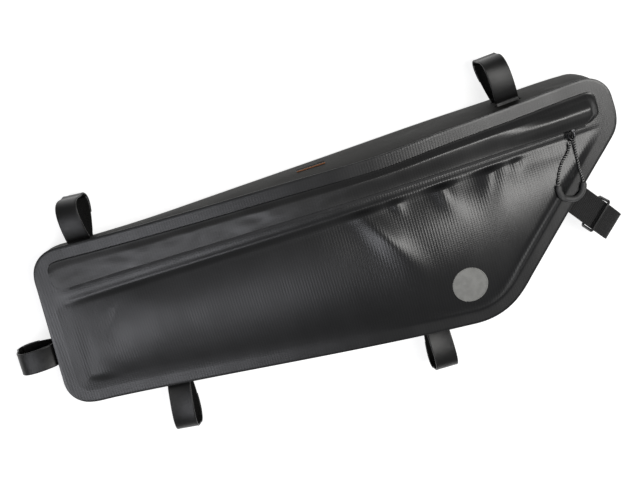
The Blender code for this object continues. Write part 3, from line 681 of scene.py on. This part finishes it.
def braid():
    """Braided cord: two sets of crossing strands with light flecks in them."""
    finish = Finish("braid", specular=0.3)
    spot = finish.cloth()
    around, along = spot.part(0), spot.part(1)
    turn = 2.0 * math.pi / 0.00113
    left = ((around + along) * turn).sine() * 0.5 + 0.5
    right = ((around - along) * turn).sine() * 0.5 + 0.5
    strand = left.most(right)
    fleck = ((along + around * 0.5) * (2.0 * math.pi / 0.0021)).sine().between(0.55, 0.9)
    tone = fleck.pick(strand.pick((0.008, 0.008, 0.008), (0.04, 0.04, 0.04)), (0.42, 0.42, 0.41))
    return finish.done(tone, 0.75 + strand * 0.1, strand * 0.00012)


def badge_print():
    """The badge: grey rubbery print with a fine grain, a raised edge and a plain worn middle."""
    finish = Finish("badge_print", specular=0.4)
    grain = finish.grain(1100.0, 3.0)
    cloud = finish.grain(160.0, 3.0)
    tone = cloud.between(0.3, 0.7).pick((0.215, 0.215, 0.206), (0.265, 0.265, 0.254))
    return finish.done(tone, 0.5 + grain * 0.12, grain * 0.00005)


FACE_FINISH = laminate("face_laminate", (0.013, 0.0132, 0.0138), 0.00007, 0.32)
FLAP_FINISH = laminate("flap_laminate", (0.015, 0.015, 0.0152), 0.00002, 0.32, 0.62)
GUSSET_FINISH = gusset_cloth()
SATIN = strap_satin()
PILE = strap_pile()
WEB = ribbed_webbing()
RING_PLASTIC = moulded("ring_plastic", (0.006, 0.006, 0.006), 0.42)
TAPE_CLOTH = moulded("tape_cloth", (0.010, 0.010, 0.011), 0.60)
TEETH_PLASTIC = moulded("teeth_plastic", (0.014, 0.014, 0.015), 0.36)
SLIDER_METAL = gunmetal()
CORD_BRAID = braid()
GRIP_RUBBER = moulded("tube_rubber", (0.050, 0.050, 0.050), 0.52)
BADGE_GREY = badge_print()
PORT_RUBBER = moulded("port_rubber", (0.30, 0.105, 0.032), 0.55)


# Panels

def fold_height(x, y):
    total = 0.0
    for fold in FOLDS:
        centre = place(fold.x, fold.y)
        turn = math.radians(fold.turn)
        dx, dy = x - centre.x, y - centre.y
        along = dx * math.cos(turn) + dy * math.sin(turn)
        across = dy * math.cos(turn) - dx * math.sin(turn)
        total += fold.height * hump(along / fold.half_length) * hump(across / fold.half_width)
    return total


BOTTOM_SIDE = (place(0.751, 0.0), place(0.0, 0.1265))


def rise(distance, run):
    """Nothing at an edge and full a run away from it, steepest at the edge."""
    return 1.0 - (1.0 - clamp(distance / run)) ** 2


def above_bottom(x, y):
    start, end = BOTTOM_SIDE
    way = (end - start).normalized()
    return (x - start.x) * way.y - (y - start.y) * way.x


def face_height(x, y):
    """The face: a level rim, a shoulder inside it, a soft roll under the flap's edge, then the swell."""
    inside = edge_distance(x, y) - RIM_WIDTH
    base = rim_height(x)
    if inside <= 0.0:
        return base
    share = (x - BAG_REAR) / BAG_LENGTH
    forward = ease((share - 0.52) / 0.16)
    below = flap_edge(x) - y
    crease = CREASE_REAR + (CREASE_NOSE - CREASE_REAR) * ease(share)
    past = below - crease
    run = CREASE_RUN_REAR + (CREASE_RUN_NOSE - CREASE_RUN_REAR) * forward
    lip = CREASE_LIP * (1.0 - 0.8 * forward)
    under_zip = lip * ease(past / CREASE_LIP_RUN) + (1.0 - lip) * rise(max(past, 0.0), run)
    fall = clamp((share - NOSE_FALL_FROM) / (NOSE_FALL_TO - NOSE_FALL_FROM)) ** 1.4
    swell = rise(x - BAG_REAR - RIM_WIDTH, REAR_RUN) * rise(above_bottom(x, y) - RIM_WIDTH, BOTTOM_RUN)
    edge_run = EDGE_RUN_REAR + (EDGE_RUN_NOSE - EDGE_RUN_REAR) * forward
    swell *= (1.0 - NOSE_FALL * fall) * ease(inside / edge_run)
    shoulder = (SHOULDER_REAR + (SHOULDER_NOSE - SHOULDER_REAR) * forward) * ease(inside / SHOULDER_RUN)
    calm = 1.0 - 0.6 * forward
    roll = STRIP_ROLL * calm * hump((below - 0.5 * crease) / (0.42 * crease)) * ease(inside / 0.02)
    dip = CREASE_DIP * calm * hump(past / 0.0018) * ease(inside / 0.012)
    return base + FACE_BULGE * swell * under_zip + shoulder * ease(past / 0.036) + roll - dip


def face_rows():
    rim_steps = (0.0, 0.0050, RIM_WIDTH - 0.0003, RIM_WIDTH + 0.0006, RIM_WIDTH + 0.0016, RIM_WIDTH + 0.0030)
    rings = [inset(FRONT_RIM, distance) for distance in rim_steps]
    inner = inset(FRONT_RIM, RIM_WIDTH + 0.0045)
    count = len(FRONT_RIM)
    goals = [spine_point(FRONT_RIM[index].to_2d(), FRONT_RIM[-index].to_2d()) for index in range(count)]
    for step in range(FACE_RING_COUNT + 1):
        share = step / FACE_RING_COUNT
        rings.append([spot.lerp(goal, share) for spot, goal in zip(inner, goals)])
    return [[Vector((spot.x, spot.y, face_height(spot.x, spot.y))) for spot in ring] for ring in rings]


def puff(made, held):
    """Lets the cloth swell under air pressure with its rim held, then keeps the result."""
    rest = [vert.co.copy() for vert in made.data.vertices]
    group = made.vertex_groups.new(name="held")
    for vert in made.data.vertices:
        group.add([vert.index], held(vert.co), "REPLACE")
    cloth = made.modifiers.new("cloth", "CLOTH")
    settings = cloth.settings
    settings.quality = 6
    settings.mass = 0.25
    settings.tension_stiffness = 12.0
    settings.compression_stiffness = 12.0
    settings.shear_stiffness = 6.0
    settings.bending_stiffness = 1.5
    settings.shrink_min = 0.0
    settings.use_pressure = True
    settings.uniform_pressure_force = 4.0
    settings.vertex_group_mass = "held"
    settings.effector_weights.gravity = 0.0
    cloth.collision_settings.use_collision = False
    cloth.point_cache.frame_start = 1
    cloth.point_cache.frame_end = 20
    scene = bpy.context.scene
    for step in range(1, 21):
        scene.frame_set(step)
    settle(made)
    scene.frame_set(1)
    for vert, start in zip(made.data.vertices, rest):
        move = vert.co - start
        if move.length > SWELL_LIMIT:
            vert.co = start + move * (SWELL_LIMIT / move.length)
    return made


def face_panel():
    """The face: welded rim, the strip under the flap's edge and the ribbed, swollen front."""
    bm = skin(face_rows(), wrap=True, flip=True)
    bmesh.ops.remove_doubles(bm, verts=bm.verts, dist=0.00001)
    made = piece("face", bm, FACE_FINISH)
    puff(made, lambda spot: 1.0 - ease((edge_distance(spot.x, spot.y) - RIM_WIDTH - 0.004) / 0.012)
         * ease((flap_edge(spot.x) - spot.y - CREASE_REAR) / 0.010))
    refine(made)
    settle(made)
    welded = made.data.attributes.new("welded", "FLOAT", "POINT")
    for vert, mark in zip(made.data.vertices, welded.data):
        x, y = vert.co.x, vert.co.y
        inside = edge_distance(x, y)
        crease = CREASE_REAR + (CREASE_NOSE - CREASE_REAR) * ease((x - BAG_REAR) / BAG_LENGTH)
        inner = ease((inside - RIM_WIDTH - 0.006) / 0.010)
        inner *= ease((flap_edge(x) - y - crease) / 0.005)
        vert.co.z += fold_height(x, y) * inner
        strip = 1.0 - ease((flap_edge(x) - y - CREASE_REAR) / 0.006)
        mark.value = max(1.0 - ease((inside - RIM_WIDTH) / 0.002), strip * (1.0 - ease((x - 0.02) / 0.12)))
    thicken(made, WALL)
    soften(made, 0.0005)
    return seat_on(made, "front_panel")


def back_panel():
    """The back: a welded rim round a soft, nearly flat panel that the bag lies on."""
    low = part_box("back_panel")[0].z
    rim_z = BACK_RIM[0].z
    tucked_in = WALL + 2.0 * GAP + 0.0004
    count = len(BACK_RIM)
    goals = [spine_point(BACK_RIM[index].to_2d(), BACK_RIM[-index].to_2d()) for index in range(count)]
    rim_steps = (tucked_in, 0.0050, RIM_WIDTH - 0.0003, RIM_WIDTH + 0.0008)
    rings = [inset(BACK_RIM, distance) for distance in rim_steps]
    inner = inset(BACK_RIM, RIM_WIDTH + 0.0020)
    for step in range(21):
        rings.append([spot.lerp(goal, step / 20) for spot, goal in zip(inner, goals)])
    rows = []
    for number, ring in enumerate(rings):
        row = []
        for index, spot in enumerate(ring):
            inside = (spot - BACK_RIM[index].to_2d()).length - RIM_WIDTH
            down = ease(inside / 0.020) * (rim_z - low)
            wave = 0.0006 * noise.noise(Vector((spot.x * 22.0, spot.y * 30.0, 3.0)))
            edge = 1.0 - abs(2.0 * ease(inside / 0.020) - 1.0)
            row.append(Vector((spot.x, spot.y, rim_z - down + abs(wave) * edge)))
        rows.append(row)
    bm = skin(rows, wrap=True)
    bmesh.ops.remove_doubles(bm, verts=bm.verts, dist=0.00001)
    made = piece("back", bm, GUSSET_FINISH)
    thicken(made, WALL)
    soften(made, 0.0005)
    return seat_on(made, "back_panel")


# Gussets

FRONT_SEAM = inset(FRONT_RIM, RIM_STANDOFF)
BACK_SEAM = inset(BACK_RIM, 0.0004)
OUTWARD = [-way for way in inward(FRONT_RIM)]
LOW_SEAM = BACK_RIM[0].z


def gusset_point(index, share, part=0.0):
    """A point of the gusset's outer side: share runs from the back seam to the face seam."""
    count = len(FRONT_RIM)
    spots = []
    for step in (index % count, (index + 1) % count):
        puffed = OUTWARD[step] * (GUSSET_PUFF * math.sin(math.pi * share))
        flat = BACK_SEAM[step].lerp(FRONT_SEAM[step], share) + puffed
        high = FRONT_RIM[step].z - WALL - GAP
        spots.append(Vector((flat.x, flat.y, LOW_SEAM + (high - LOW_SEAM) * share)))
    return spots[0].lerp(spots[1], part)


Band = namedtuple("Band", "name node start end")
BANDS = (
    # the gusset's four strips, between the bag's corners as shares of length and height
    Band("gusset_top", "top_gusset", (0.017, 0.908), (0.997, 1.000)),
    Band("gusset_front", "front_gusset", (0.997, 1.000), (0.751, 0.000)),
    Band("gusset_bottom", "bottom_gusset", (0.751, 0.000), (0.000, 0.1265)),
    Band("gusset_rear", "rear_gusset", (0.000, 0.1265), (0.017, 0.908)),
)
BAND_LINES = 22


def nearest_step(shares):
    goal = place(*shares)
    return min(range(len(FRONT_RIM)), key=lambda i: (FRONT_RIM[i].to_2d() - goal).length)


def gusset_band(band):
    """One strip of the gusset: soft cloth with a fold near each seam and slack waves between."""
    first, last = nearest_step(band.start), nearest_step(band.end)
    if last < first:
        last += len(FRONT_RIM)
    rows = []
    for line in range(BAND_LINES + 1):
        share = line / BAND_LINES
        row = []
        for index in range(first, last + 1):
            spot = gusset_point(index, share)
            out = OUTWARD[index % len(FRONT_RIM)].to_3d()
            ends = ease(min(index - first, last - index) / 6.0)
            slack = 0.0008 * noise.noise(Vector((spot.x * 26.0, spot.y * 26.0, spot.z * 30.0)))
            forward = ease((spot.x - place(0.80, 0.0).x) / 0.05)
            tuck = -(0.0016 + 0.0022 * forward) * ease((share - 0.86) / 0.10)
            row.append(spot + out * (slack * math.sin(math.pi * share) * ends + tuck))
        row[0] = row[0] + (row[1] - row[0]).normalized() * GAP
        row[-1] = row[-1] + (row[-2] - row[-1]).normalized() * GAP
        rows.append(row)
    made = piece(band.name, skin(rows, flip=True), GUSSET_FINISH)
    thicken(made, WALL)
    settle(made)
    return seat_on(made, band.node)


# Straps

class Seat:
    """Where a strap leaves its gusset: the middle, and the ways along the edge, out and up."""

    def __init__(self, x, y, share=0.5, lean=0.0):
        goal = place(x, y)
        best = None
        for index in range(len(FRONT_RIM)):
            start, end = gusset_point(index, share), gusset_point(index, share, 1.0)
            line = (end - start).to_2d()
            part = clamp((goal - start.to_2d()).dot(line) / line.length_squared)
            spot = start.lerp(end, part)
            far = (spot.to_2d() - goal).length
            if best is None or far < best[0]:
                best = (far, spot, index)
        self.middle = best[1]
        index = best[2]
        along = (gusset_point(index + 4, share) - gusset_point(index - 3, share)).to_2d().normalized()
        self.along = Vector((along.x, along.y, 0.0))
        self.up = Vector((0.0, 0.0, 1.0))
        self.out = Vector((-along.y, along.x, 0.0))
        self.aim = (self.out + self.along * math.tan(math.radians(lean))).normalized()


def slot_half_of(half_depth):
    return min(0.62 * half_depth, 0.30 * REAR_DEPTH)


def loop_outline(reach, half_depth, slot_half, steps):
    found = []
    for step in range(steps + 1):
        angle = math.pi * step / steps
        out = STRAP_NECK + (reach - STRAP_NECK) * math.sin(angle / 2.0)
        full = max(0.0, math.sin(angle)) ** 0.6
        up = slot_half * math.cos(angle / 2.0) + (half_depth - 0.6 * slot_half) * full
        found.append(Vector((out, up)))
    return found


def strap_line(reach, half_depth, slot_half, wall):
    """The strap's middle line: inner end, down through one slot, up the other and over itself."""
    steps = 24
    inside = -(2.0 * WALL + wall)
    half = loop_outline(reach, half_depth, slot_half, steps)
    left = [Vector((spot.x, -spot.y)) for spot in half]
    line = list(reversed(left[:19]))
    line.append(Vector((0.0, -slot_half)))
    line.append(Vector((inside, -slot_half * 0.98)))
    line.append(Vector((inside - wall * 0.4, -slot_half * 0.75)))
    line.append(Vector((inside - wall * 0.4, slot_half * 0.75)))
    line.append(Vector((inside, slot_half * 0.98)))
    line.append(Vector((0.0, slot_half)))
    line += half[:-1]
    outer = list(reversed(left))
    for step, spot in enumerate(outer[:17]):
        ahead = outer[step + 1] - outer[max(step - 1, 0)]
        away = Vector((-ahead.y, ahead.x)).normalized()
        line.append(spot + away * ((wall + GAP) * ease(step / 3.0)))
    return even_steps(smooth_run(line, False, 0.001), 110)


def band_profile(width, wall):
    """A flat strap's cross-section: across from -1 to 1, up from -1 to 1, with thin rounded edges."""
    half, rise = width / 2.0, wall / 2.0
    edge = rise * 0.9
    top = [(-half + edge * 0.3, rise * 0.75), (-half + edge, rise), (-half + 0.0012, rise)]
    top += [(-half + 0.0018, rise * 0.82), (0.0, rise * 0.86)]
    top += [(-across, up) for across, up in reversed(top[:-1])]
    return top + [(half, 0.0)] + [(across, -up) for across, up in reversed(top)] + [(-half, 0.0)]


def sweep_strap(name, seat, line, width, wall, reach, twist, outer_finish, inner_finish):
    """A flat strap along its line, turning a little as it goes out, its two sides finished apart."""
    profile = band_profile(width, wall)
    rows = []
    count = len(line)
    for index, spot in enumerate(line):
        ahead = line[min(index + 1, count - 1)] - line[max(index - 1, 0)]
        side = Vector((-ahead.y, ahead.x)).normalized()
        turn = math.radians(twist) * clamp(spot.x / reach)
        along = seat.along * math.cos(turn) + seat.up * math.sin(turn)
        up = seat.up * math.cos(turn) - seat.along * math.sin(turn)
        row = []
        for across, rise in profile:
            edge = spot + side * rise
            out = seat.aim if edge.x > 0.0 else seat.out
            row.append(seat.middle + out * edge.x + up * edge.y + along * across)
        rows.append(row)
    bm = skin(rows, wrap=True)
    bm.verts.ensure_lookup_table()
    size = len(profile)
    bm.faces.new(bm.verts[:size])
    bm.faces.new(list(reversed(bm.verts[-size:])))
    bmesh.ops.recalc_face_normals(bm, faces=bm.faces)
    middle = seat.middle + seat.aim * (0.45 * reach)
    for face in bm.faces:
        centre = face.calc_center_median()
        face.material_index = 1 if face.normal.dot(centre - middle) < 0.0 else 0
    return piece(name, bm, outer_finish, inner_finish, angle=50.0)


def slots(strap, holder, seat, slot_half, width, wall):
    for sign in (1, -1):
        centre = seat.middle + seat.up * (sign * slot_half)
        sizes = (width + 0.0016, 8.0 * WALL, wall + 0.0014)
        cut(holder, box("slot", centre, (seat.along, seat.out, seat.up), sizes))


def strap_loop(strap, holders):
    seat = Seat(strap.x, strap.y, lean=strap.lean)
    reach, half_depth = strap.reach * STRAP_WIDTH, strap.half_depth * STRAP_WIDTH
    slot_half = slot_half_of(half_depth)
    line = strap_line(reach, half_depth, slot_half, STRAP_WALL)
    made = sweep_strap(strap.name, seat, line, STRAP_WIDTH, STRAP_WALL, reach, strap.twist, SATIN, PILE)
    slots(strap, holders[strap.gusset], seat, slot_half, STRAP_WIDTH, STRAP_WALL)
    return seat_on(made, strap.node)


def wide_strap(holders):
    """The wide webbing at the nose and the square ring that it folds through."""
    strap = WIDE_STRAP
    seat = Seat(strap.x, strap.y, lean=strap.lean)
    reach, half_depth = strap.reach * WEBBING_WIDTH, strap.half_depth * WEBBING_WIDTH
    slot_half = slot_half_of(half_depth)
    line = strap_line(reach, half_depth, slot_half, WEBBING_WALL)
    made = sweep_strap(strap.name, seat, line, WEBBING_WIDTH, WEBBING_WALL, reach, strap.twist, WEB, WEB)
    slots(strap, holders[strap.gusset], seat, slot_half, WEBBING_WIDTH, WEBBING_WALL)
    seat_on(made, strap.node)
    half_up = max(abs(spot.y) for spot in line) + 0.5 * WEBBING_WALL + 0.5 * RING_WIRE + GAP
    half_wide = 0.5 * WEBBING_WIDTH + 0.5 * RING_WIRE + 2.0 * GAP
    centre = seat.middle + seat.aim * (RING_AT * reach)
    rows = []
    for side_wide, side_up, start in ((1, 1, 0), (-1, 1, 90), (-1, -1, 180), (1, -1, 270)):
        for step in range(7):
            angle = math.radians(start + 15.0 * step)
            wide = side_wide * (half_wide - RING_WIRE) + RING_WIRE * math.cos(angle)
            up = side_up * (half_up - RING_WIRE) + RING_WIRE * math.sin(angle)
            spoke = seat.along * math.cos(angle) + seat.up * math.sin(angle)
            middle = centre + seat.along * wide + seat.up * up
            row = []
            for side in range(16):
                turn = 2.0 * math.pi * side / 16
                row.append(middle + spoke * (0.5 * RING_WIRE * math.cos(turn))
                           + seat.aim * (0.5 * RING_WIRE * math.sin(turn)))
            rows.append(row)
    rows.append(rows[0])
    bm = skin(rows, wrap=True)
    bmesh.ops.remove_doubles(bm, verts=bm.verts, dist=0.00001)
    bmesh.ops.recalc_face_normals(bm, faces=bm.faces)
    seat_on(piece("ring", bm, RING_PLASTIC), "front_ring")


# Zip, flap and pull

def hood_at(x):
    share = (x - BAG_REAR) / BAG_LENGTH
    return ease((share - HOOD_FROM) / (HOOD_FULL - HOOD_FROM))


def flap():
    """The flap over the zip: welded along the rim, free below, rippled, with a hood over the slider."""
    low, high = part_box("zip_flap")
    rows = []
    lines, steps = 26, 220
    for number in range(lines + 1):
        across = number / lines
        turned = ease((across - 0.62) / 0.38)
        shouldered = 0.75 * ease((0.22 - across) / 0.22)
        curl = FLAP_CORNER * (2.0 - math.sqrt(max(0.0, 1.0 - turned ** 2)) - math.sqrt(1.0 - shouldered ** 2))
        start, end = low.x + curl, high.x - curl
        row = []
        for step in range(steps + 1):
            even = step / steps
            crowded = 0.5 - 0.5 * math.cos(math.pi * even)
            x = start + (end - start) * (0.55 * even + 0.45 * crowded)
            upper = top_rim(x).y - RIM_WIDTH - FLAP_SEAM
            y = upper + (flap_edge(x) - upper) * across
            share = (x - BAG_REAR) / BAG_LENGTH
            climb = FLAP_RISE_REAR + (FLAP_RISE - FLAP_RISE_REAR) * ease((share - 0.2) / 0.5)
            hood = HOOD_RISE * hood_at(x) * ease((across - 0.12) / 0.45)
            hood *= 1.0 - 0.25 * ease((across - 0.7) / 0.3)
            droop = FLAP_DROOP * ease((share - 0.45) / 0.2) * ease((across - 0.25) / 0.75)
            lift = climb * ease(across / 0.3) + hood - droop
            ends = ease((end - x) / FLAP_CORNER)
            slack = ease(across / 0.3) * (1.0 - ease((share - 0.52) / 0.12))
            ripple = 0.0006 * noise.noise(Vector((x * 26.0, y * 75.0, 1.7))) * slack
            ripple += 0.0003 * noise.noise(Vector((x * 60.0, y * 130.0, 4.1))) * slack
            height = rim_height(x) + GAP + FLAP_WALL + lift * (0.25 + 0.75 * ends) + ripple * ends
            row.append(Vector((x, y, height)))
        rows.append(row)
    made = piece("flap", skin(rows, flip=True), FLAP_FINISH)
    thicken(made, FLAP_WALL)
    soften(made, 0.0004)
    return seat_on(made, "zip_flap")


def zip_chain():
    """The zip's tape and its coil of small teeth, under the flap."""
    low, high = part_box("zip_tape")
    rise = 0.0045
    rows = []
    for step in range(91):
        x = low.x + (high.x - low.x) * step / 90
        middle = flap_edge(x) + rise
        rows.append([Vector((x, middle + across, rim_height(x) + GAP + up))
                     for across, up in ((0.007, 0.0), (0.007, 0.0004), (0.0023, 0.0005), (-0.0023, 0.0005),
                                        (-0.007, 0.0004), (-0.007, 0.0))])
    bm = skin(rows, wrap=True)
    bmesh.ops.recalc_face_normals(bm, faces=bm.faces)
    tape = piece("tape", bm, TAPE_CLOTH)
    seat_on(tape, "zip_tape")
    pitch = 0.0018
    bm = bmesh.new()
    for number in range(int((high.x - low.x - 0.004) / pitch)):
        x = low.x + 0.002 + pitch * number
        stagger = 0.0007 if number % 2 else -0.0007
        spot = Vector((x, flap_edge(x) + rise + stagger, rim_height(x) + GAP + 0.0009))
        made = bmesh.ops.create_cube(bm, size=1.0)
        for vert in made["verts"]:
            taper = 0.75 if vert.co.z > 0.0 else 1.0
            sizes = Vector((0.0011 * taper, 0.0030 * taper, 0.0009))
            vert.co = spot + vert.co * sizes
    seat_on(piece("teeth", bm, TEETH_PLASTIC))


def rounded_box(name, centre, sizes, rounding, *finishes):
    axes = (Vector((1.0, 0.0, 0.0)), Vector((0.0, 1.0, 0.0)), Vector((0.0, 0.0, 1.0)))
    made = box(name, centre, axes, sizes, *finishes)
    soften(made, rounding, 3)
    return settle(made)


def slider():
    """The slider's body with its bridge, and the wire eye that holds the pull cord."""
    low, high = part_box("zip_slider")
    body_low = high.y - 0.0095
    middle = Vector(((low.x + high.x) / 2.0, (high.y + body_low) / 2.0, low.z + 0.0009))
    width = high.x - low.x
    plate = rounded_box("slider", middle, (width, 0.0095, 0.0016), 0.0006, SLIDER_METAL)
    bridge = rounded_box("slider_bridge", middle + Vector((0.0, -0.0016, 0.0017)), (0.0040, 0.0105, 0.0014),
                         0.0005, SLIDER_METAL)
    seat_on(plate, "zip_slider")
    seat_on(bridge)
    centre = Vector((low.x + 0.0042, low.y + 0.0052, (low.z + high.z) / 2.0))
    run = []
    for step in range(33):
        turn = 2.0 * math.pi * step / 32
        run.append(centre + Vector((0.0026 * math.sin(turn), 0.0046 * math.cos(turn), 0.0)))
    rows = []
    for index, spot in enumerate(run):
        ahead = (run[(index + 1) % 32] - run[(index - 1) % 32]).normalized()
        side = ahead.cross(Vector((0.0, 0.0, 1.0)))
        rows.append([spot + side * (0.0011 * math.cos(a)) + Vector((0.0, 0.0, 0.0011 * math.sin(a)))
                     for a in (2.0 * math.pi * k / 12 for k in range(12))])
    bm = skin(rows, wrap=True)
    bmesh.ops.remove_doubles(bm, verts=bm.verts, dist=0.00001)
    bmesh.ops.recalc_face_normals(bm, faces=bm.faces)
    seat_on(piece("slider_eye", bm, SLIDER_METAL))


def face_tree(made):
    graph = bpy.context.evaluated_depsgraph_get()
    return BVHTree.FromObject(made, graph)


def top_of(tree, x, y):
    spot = tree.ray_cast(Vector((x, y, 1.0)), Vector((0.0, 0.0, -1.0)))[0]
    return rim_height(x) if spot is None else spot.z


def cord_line(tree):
    """The cord's middle line from the slider's eye over the face and back."""
    low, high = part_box("zip_slider")
    start_height = (low.z + high.z) / 2.0
    route = smooth_run([place(x, y) for x, y in CORD_ROUTE], False, 0.0016)
    last = len(route) - 1
    found = []
    for index, spot in enumerate(route):
        share = index / last
        past = abs(share - sum(GRIP_SPAN) / 2.0) - (GRIP_SPAN[1] - GRIP_SPAN[0]) / 2.0
        in_grip = 1.0 - ease(past / 0.06)
        radius = 0.5 * CORD_DIAMETER + (0.5 * GRIP_DIAMETER - 0.5 * CORD_DIAMETER) * in_grip
        laid = top_of(tree, spot.x, spot.y) + radius + GAP
        hang = max(start_height, laid)
        height = laid + (hang - laid) * (1.0 - ease(min(share, 1.0 - share) / 0.20))
        found.append(Vector((spot.x, spot.y, height)))
    return found


def round_rows(route, radius_at, sides):
    rows = []
    up = Vector((0.0, 0.0, 1.0))
    last = len(route) - 1
    for index, spot in enumerate(route):
        ahead = (route[min(index + 1, last)] - route[max(index - 1, 0)]).normalized()
        side = ahead.cross(up).normalized()
        normal = side.cross(ahead)
        radius = radius_at(index / last)
        rows.append([spot + (side * math.cos(a) + normal * math.sin(a)) * radius
                     for a in (2.0 * math.pi * k / sides for k in range(sides))])
    return rows


def pull(tree):
    """The pull: a thin braided cord loop in the slider's eye with a rubber tube on its bight."""
    route = cord_line(tree)
    bm = skin(round_rows(route, lambda share: 0.5 * CORD_DIAMETER, 12), wrap=True)
    bmesh.ops.holes_fill(bm, edges=bm.edges)
    bmesh.ops.recalc_face_normals(bm, faces=bm.faces)
    cord = seat_on(piece("cord", bm, CORD_BRAID), "pull_cord")
    last = len(route) - 1
    part = route[round(GRIP_SPAN[0] * last):round(GRIP_SPAN[1] * last) + 1]

    def grip_radius(share):
        ends = ease(min(share, 1.0 - share) / 0.05)
        groove = hump((share - 0.14) / 0.02) + hump((share - 0.86) / 0.02)
        return 0.5 * GRIP_DIAMETER * (0.78 + 0.22 * ends - 0.08 * groove)

    bm = skin(round_rows(part, grip_radius, 20), wrap=True)
    bmesh.ops.holes_fill(bm, edges=bm.edges)
    bmesh.ops.recalc_face_normals(bm, faces=bm.faces)
    grip = seat_on(piece("grip", bm, GRIP_RUBBER), "pull_grip")


def badge(tree):
    """The round badge: a thin print with a raised edge line and a bare middle."""
    low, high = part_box("badge")
    centre = (low + high) / 2.0
    radius = (high.x - low.x) / 2.0
    rings = ((1.0, -0.0002), (1.0, 0.0006), (0.985, 0.0009), (0.94, 0.0009), (0.92, 0.0006), (0.90, 0.0006),
             (0.6, 0.0007), (0.3, 0.0008), (0.04, 0.0008))
    rows = []
    for share, rise in rings:
        row = []
        for step in range(96):
            turn = 2.0 * math.pi * step / 96
            x, y = centre.x + radius * share * math.cos(turn), centre.y + radius * share * math.sin(turn)
            row.append(Vector((x, y, top_of(tree, x, y) + rise)))
        rows.append(row)
    bm = skin(rows, wrap=True, flip=True)
    bmesh.ops.holes_fill(bm, edges=[edge for edge in bm.edges if edge.is_boundary])
    bmesh.ops.recalc_face_normals(bm, faces=bm.faces)
    seat_on(piece("badge_disc", bm, BADGE_GREY, angle=30.0), "badge")


def cable_port(holder):
    """The cable's slit in the top gusset and the coloured lip beside it."""
    seat = Seat(0.503, 0.95, share=0.34)
    lip_low, lip_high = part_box("cable_port_lip")
    cut(holder, box("slit", seat.middle, (seat.along, seat.out, seat.up), (0.025, 8.0 * WALL, 0.0016)))
    centre = (lip_low + lip_high) / 2.0
    lean = Vector((0.0, (lip_high.y - lip_low.y) - 0.0008, lip_high.z - lip_low.z)).normalized()
    across = seat.along
    out = across.cross(lean).normalized()
    made = box("port_lip", centre, (across, lean, out), (0.025, 0.0045, 0.0008), PORT_RUBBER)
    soften(made, 0.0003, 3)
    seat_on(settle(made), "cable_port_lip")


def build():
    face = face_panel()
    back_panel()
    holders = {band.name: gusset_band(band) for band in BANDS}
    for strap in STRAPS:
        strap_loop(strap, holders)
    wide_strap(holders)
    flap()
    zip_chain()
    slider()
    tree = face_tree(face)
    pull(tree)
    badge(tree)
    cable_port(holders["gusset_top"])


build()


# Floor, light and camera

def floor():
    finish = Finish("pale_floor", specular=0.0, glow=0.80)
    finish.feed(finish.shader.inputs["Emission Color"], (1.0, 1.0, 1.0))
    cloud = finish.grain(2.0, 2.0)
    material = finish.done(cloud.pick((0.50, 0.50, 0.50), (0.52, 0.52, 0.52)), 0.9)
    bm = bmesh.new()
    bmesh.ops.create_grid(bm, x_segments=2, y_segments=2, size=5.0)
    made = piece("floor", bm, material)
    made.location.z = -0.0002


def soft_light(name, spot, goal, size, power, colour):
    data = bpy.data.lights.new(name, "AREA")
    data.shape = "RECTANGLE"
    data.size, data.size_y = size
    data.energy = power
    data.color = colour
    made = bpy.data.objects.new(name, data)
    made.location = spot
    made.rotation_euler = (Vector(goal) - Vector(spot)).to_track_quat("-Z", "Y").to_euler()
    bpy.context.scene.collection.objects.link(made)


def studio():
    world = bpy.data.worlds.new("studio")
    world.use_nodes = True
    world.node_tree.nodes["Background"].inputs["Color"].default_value = (1.0, 1.0, 1.0, 1.0)
    world.node_tree.nodes["Background"].inputs["Strength"].default_value = 0.14
    scene = bpy.context.scene
    scene.world = world
    scene.view_settings.view_transform = "Standard"
    soft_light("right_box", (0.75, 0.10, 1.40), (0.1, 0.0, 0.03), (0.48, 1.00), 15.0, (1.0, 0.99, 0.97))
    soft_light("left_box", (-0.93, -0.42, 1.36), (-0.1, 0.0, 0.03), (0.46, 0.80), 7.4, (0.93, 0.94, 1.0))


def camera():
    """The photograph's view, from nearly above, turned a little."""
    data = bpy.data.cameras.new("camera")
    data.sensor_width = 36.0
    data.lens = 57.94
    data.clip_start = 0.01
    made = bpy.data.objects.new("camera", data)
    right = Vector((0.96029, -0.27184, 0.06276))
    up = Vector((0.27899, 0.93568, -0.21602))
    back = -Vector((0.0, -0.22495, -0.97437))
    turn = Matrix((right, up, back)).transposed().to_4x4()
    made.matrix_world = Matrix.Translation((0.00837, 0.21161, 0.87797)) @ turn
    bpy.context.scene.collection.objects.link(made)
    bpy.context.scene.camera = made


floor()
studio()
camera()
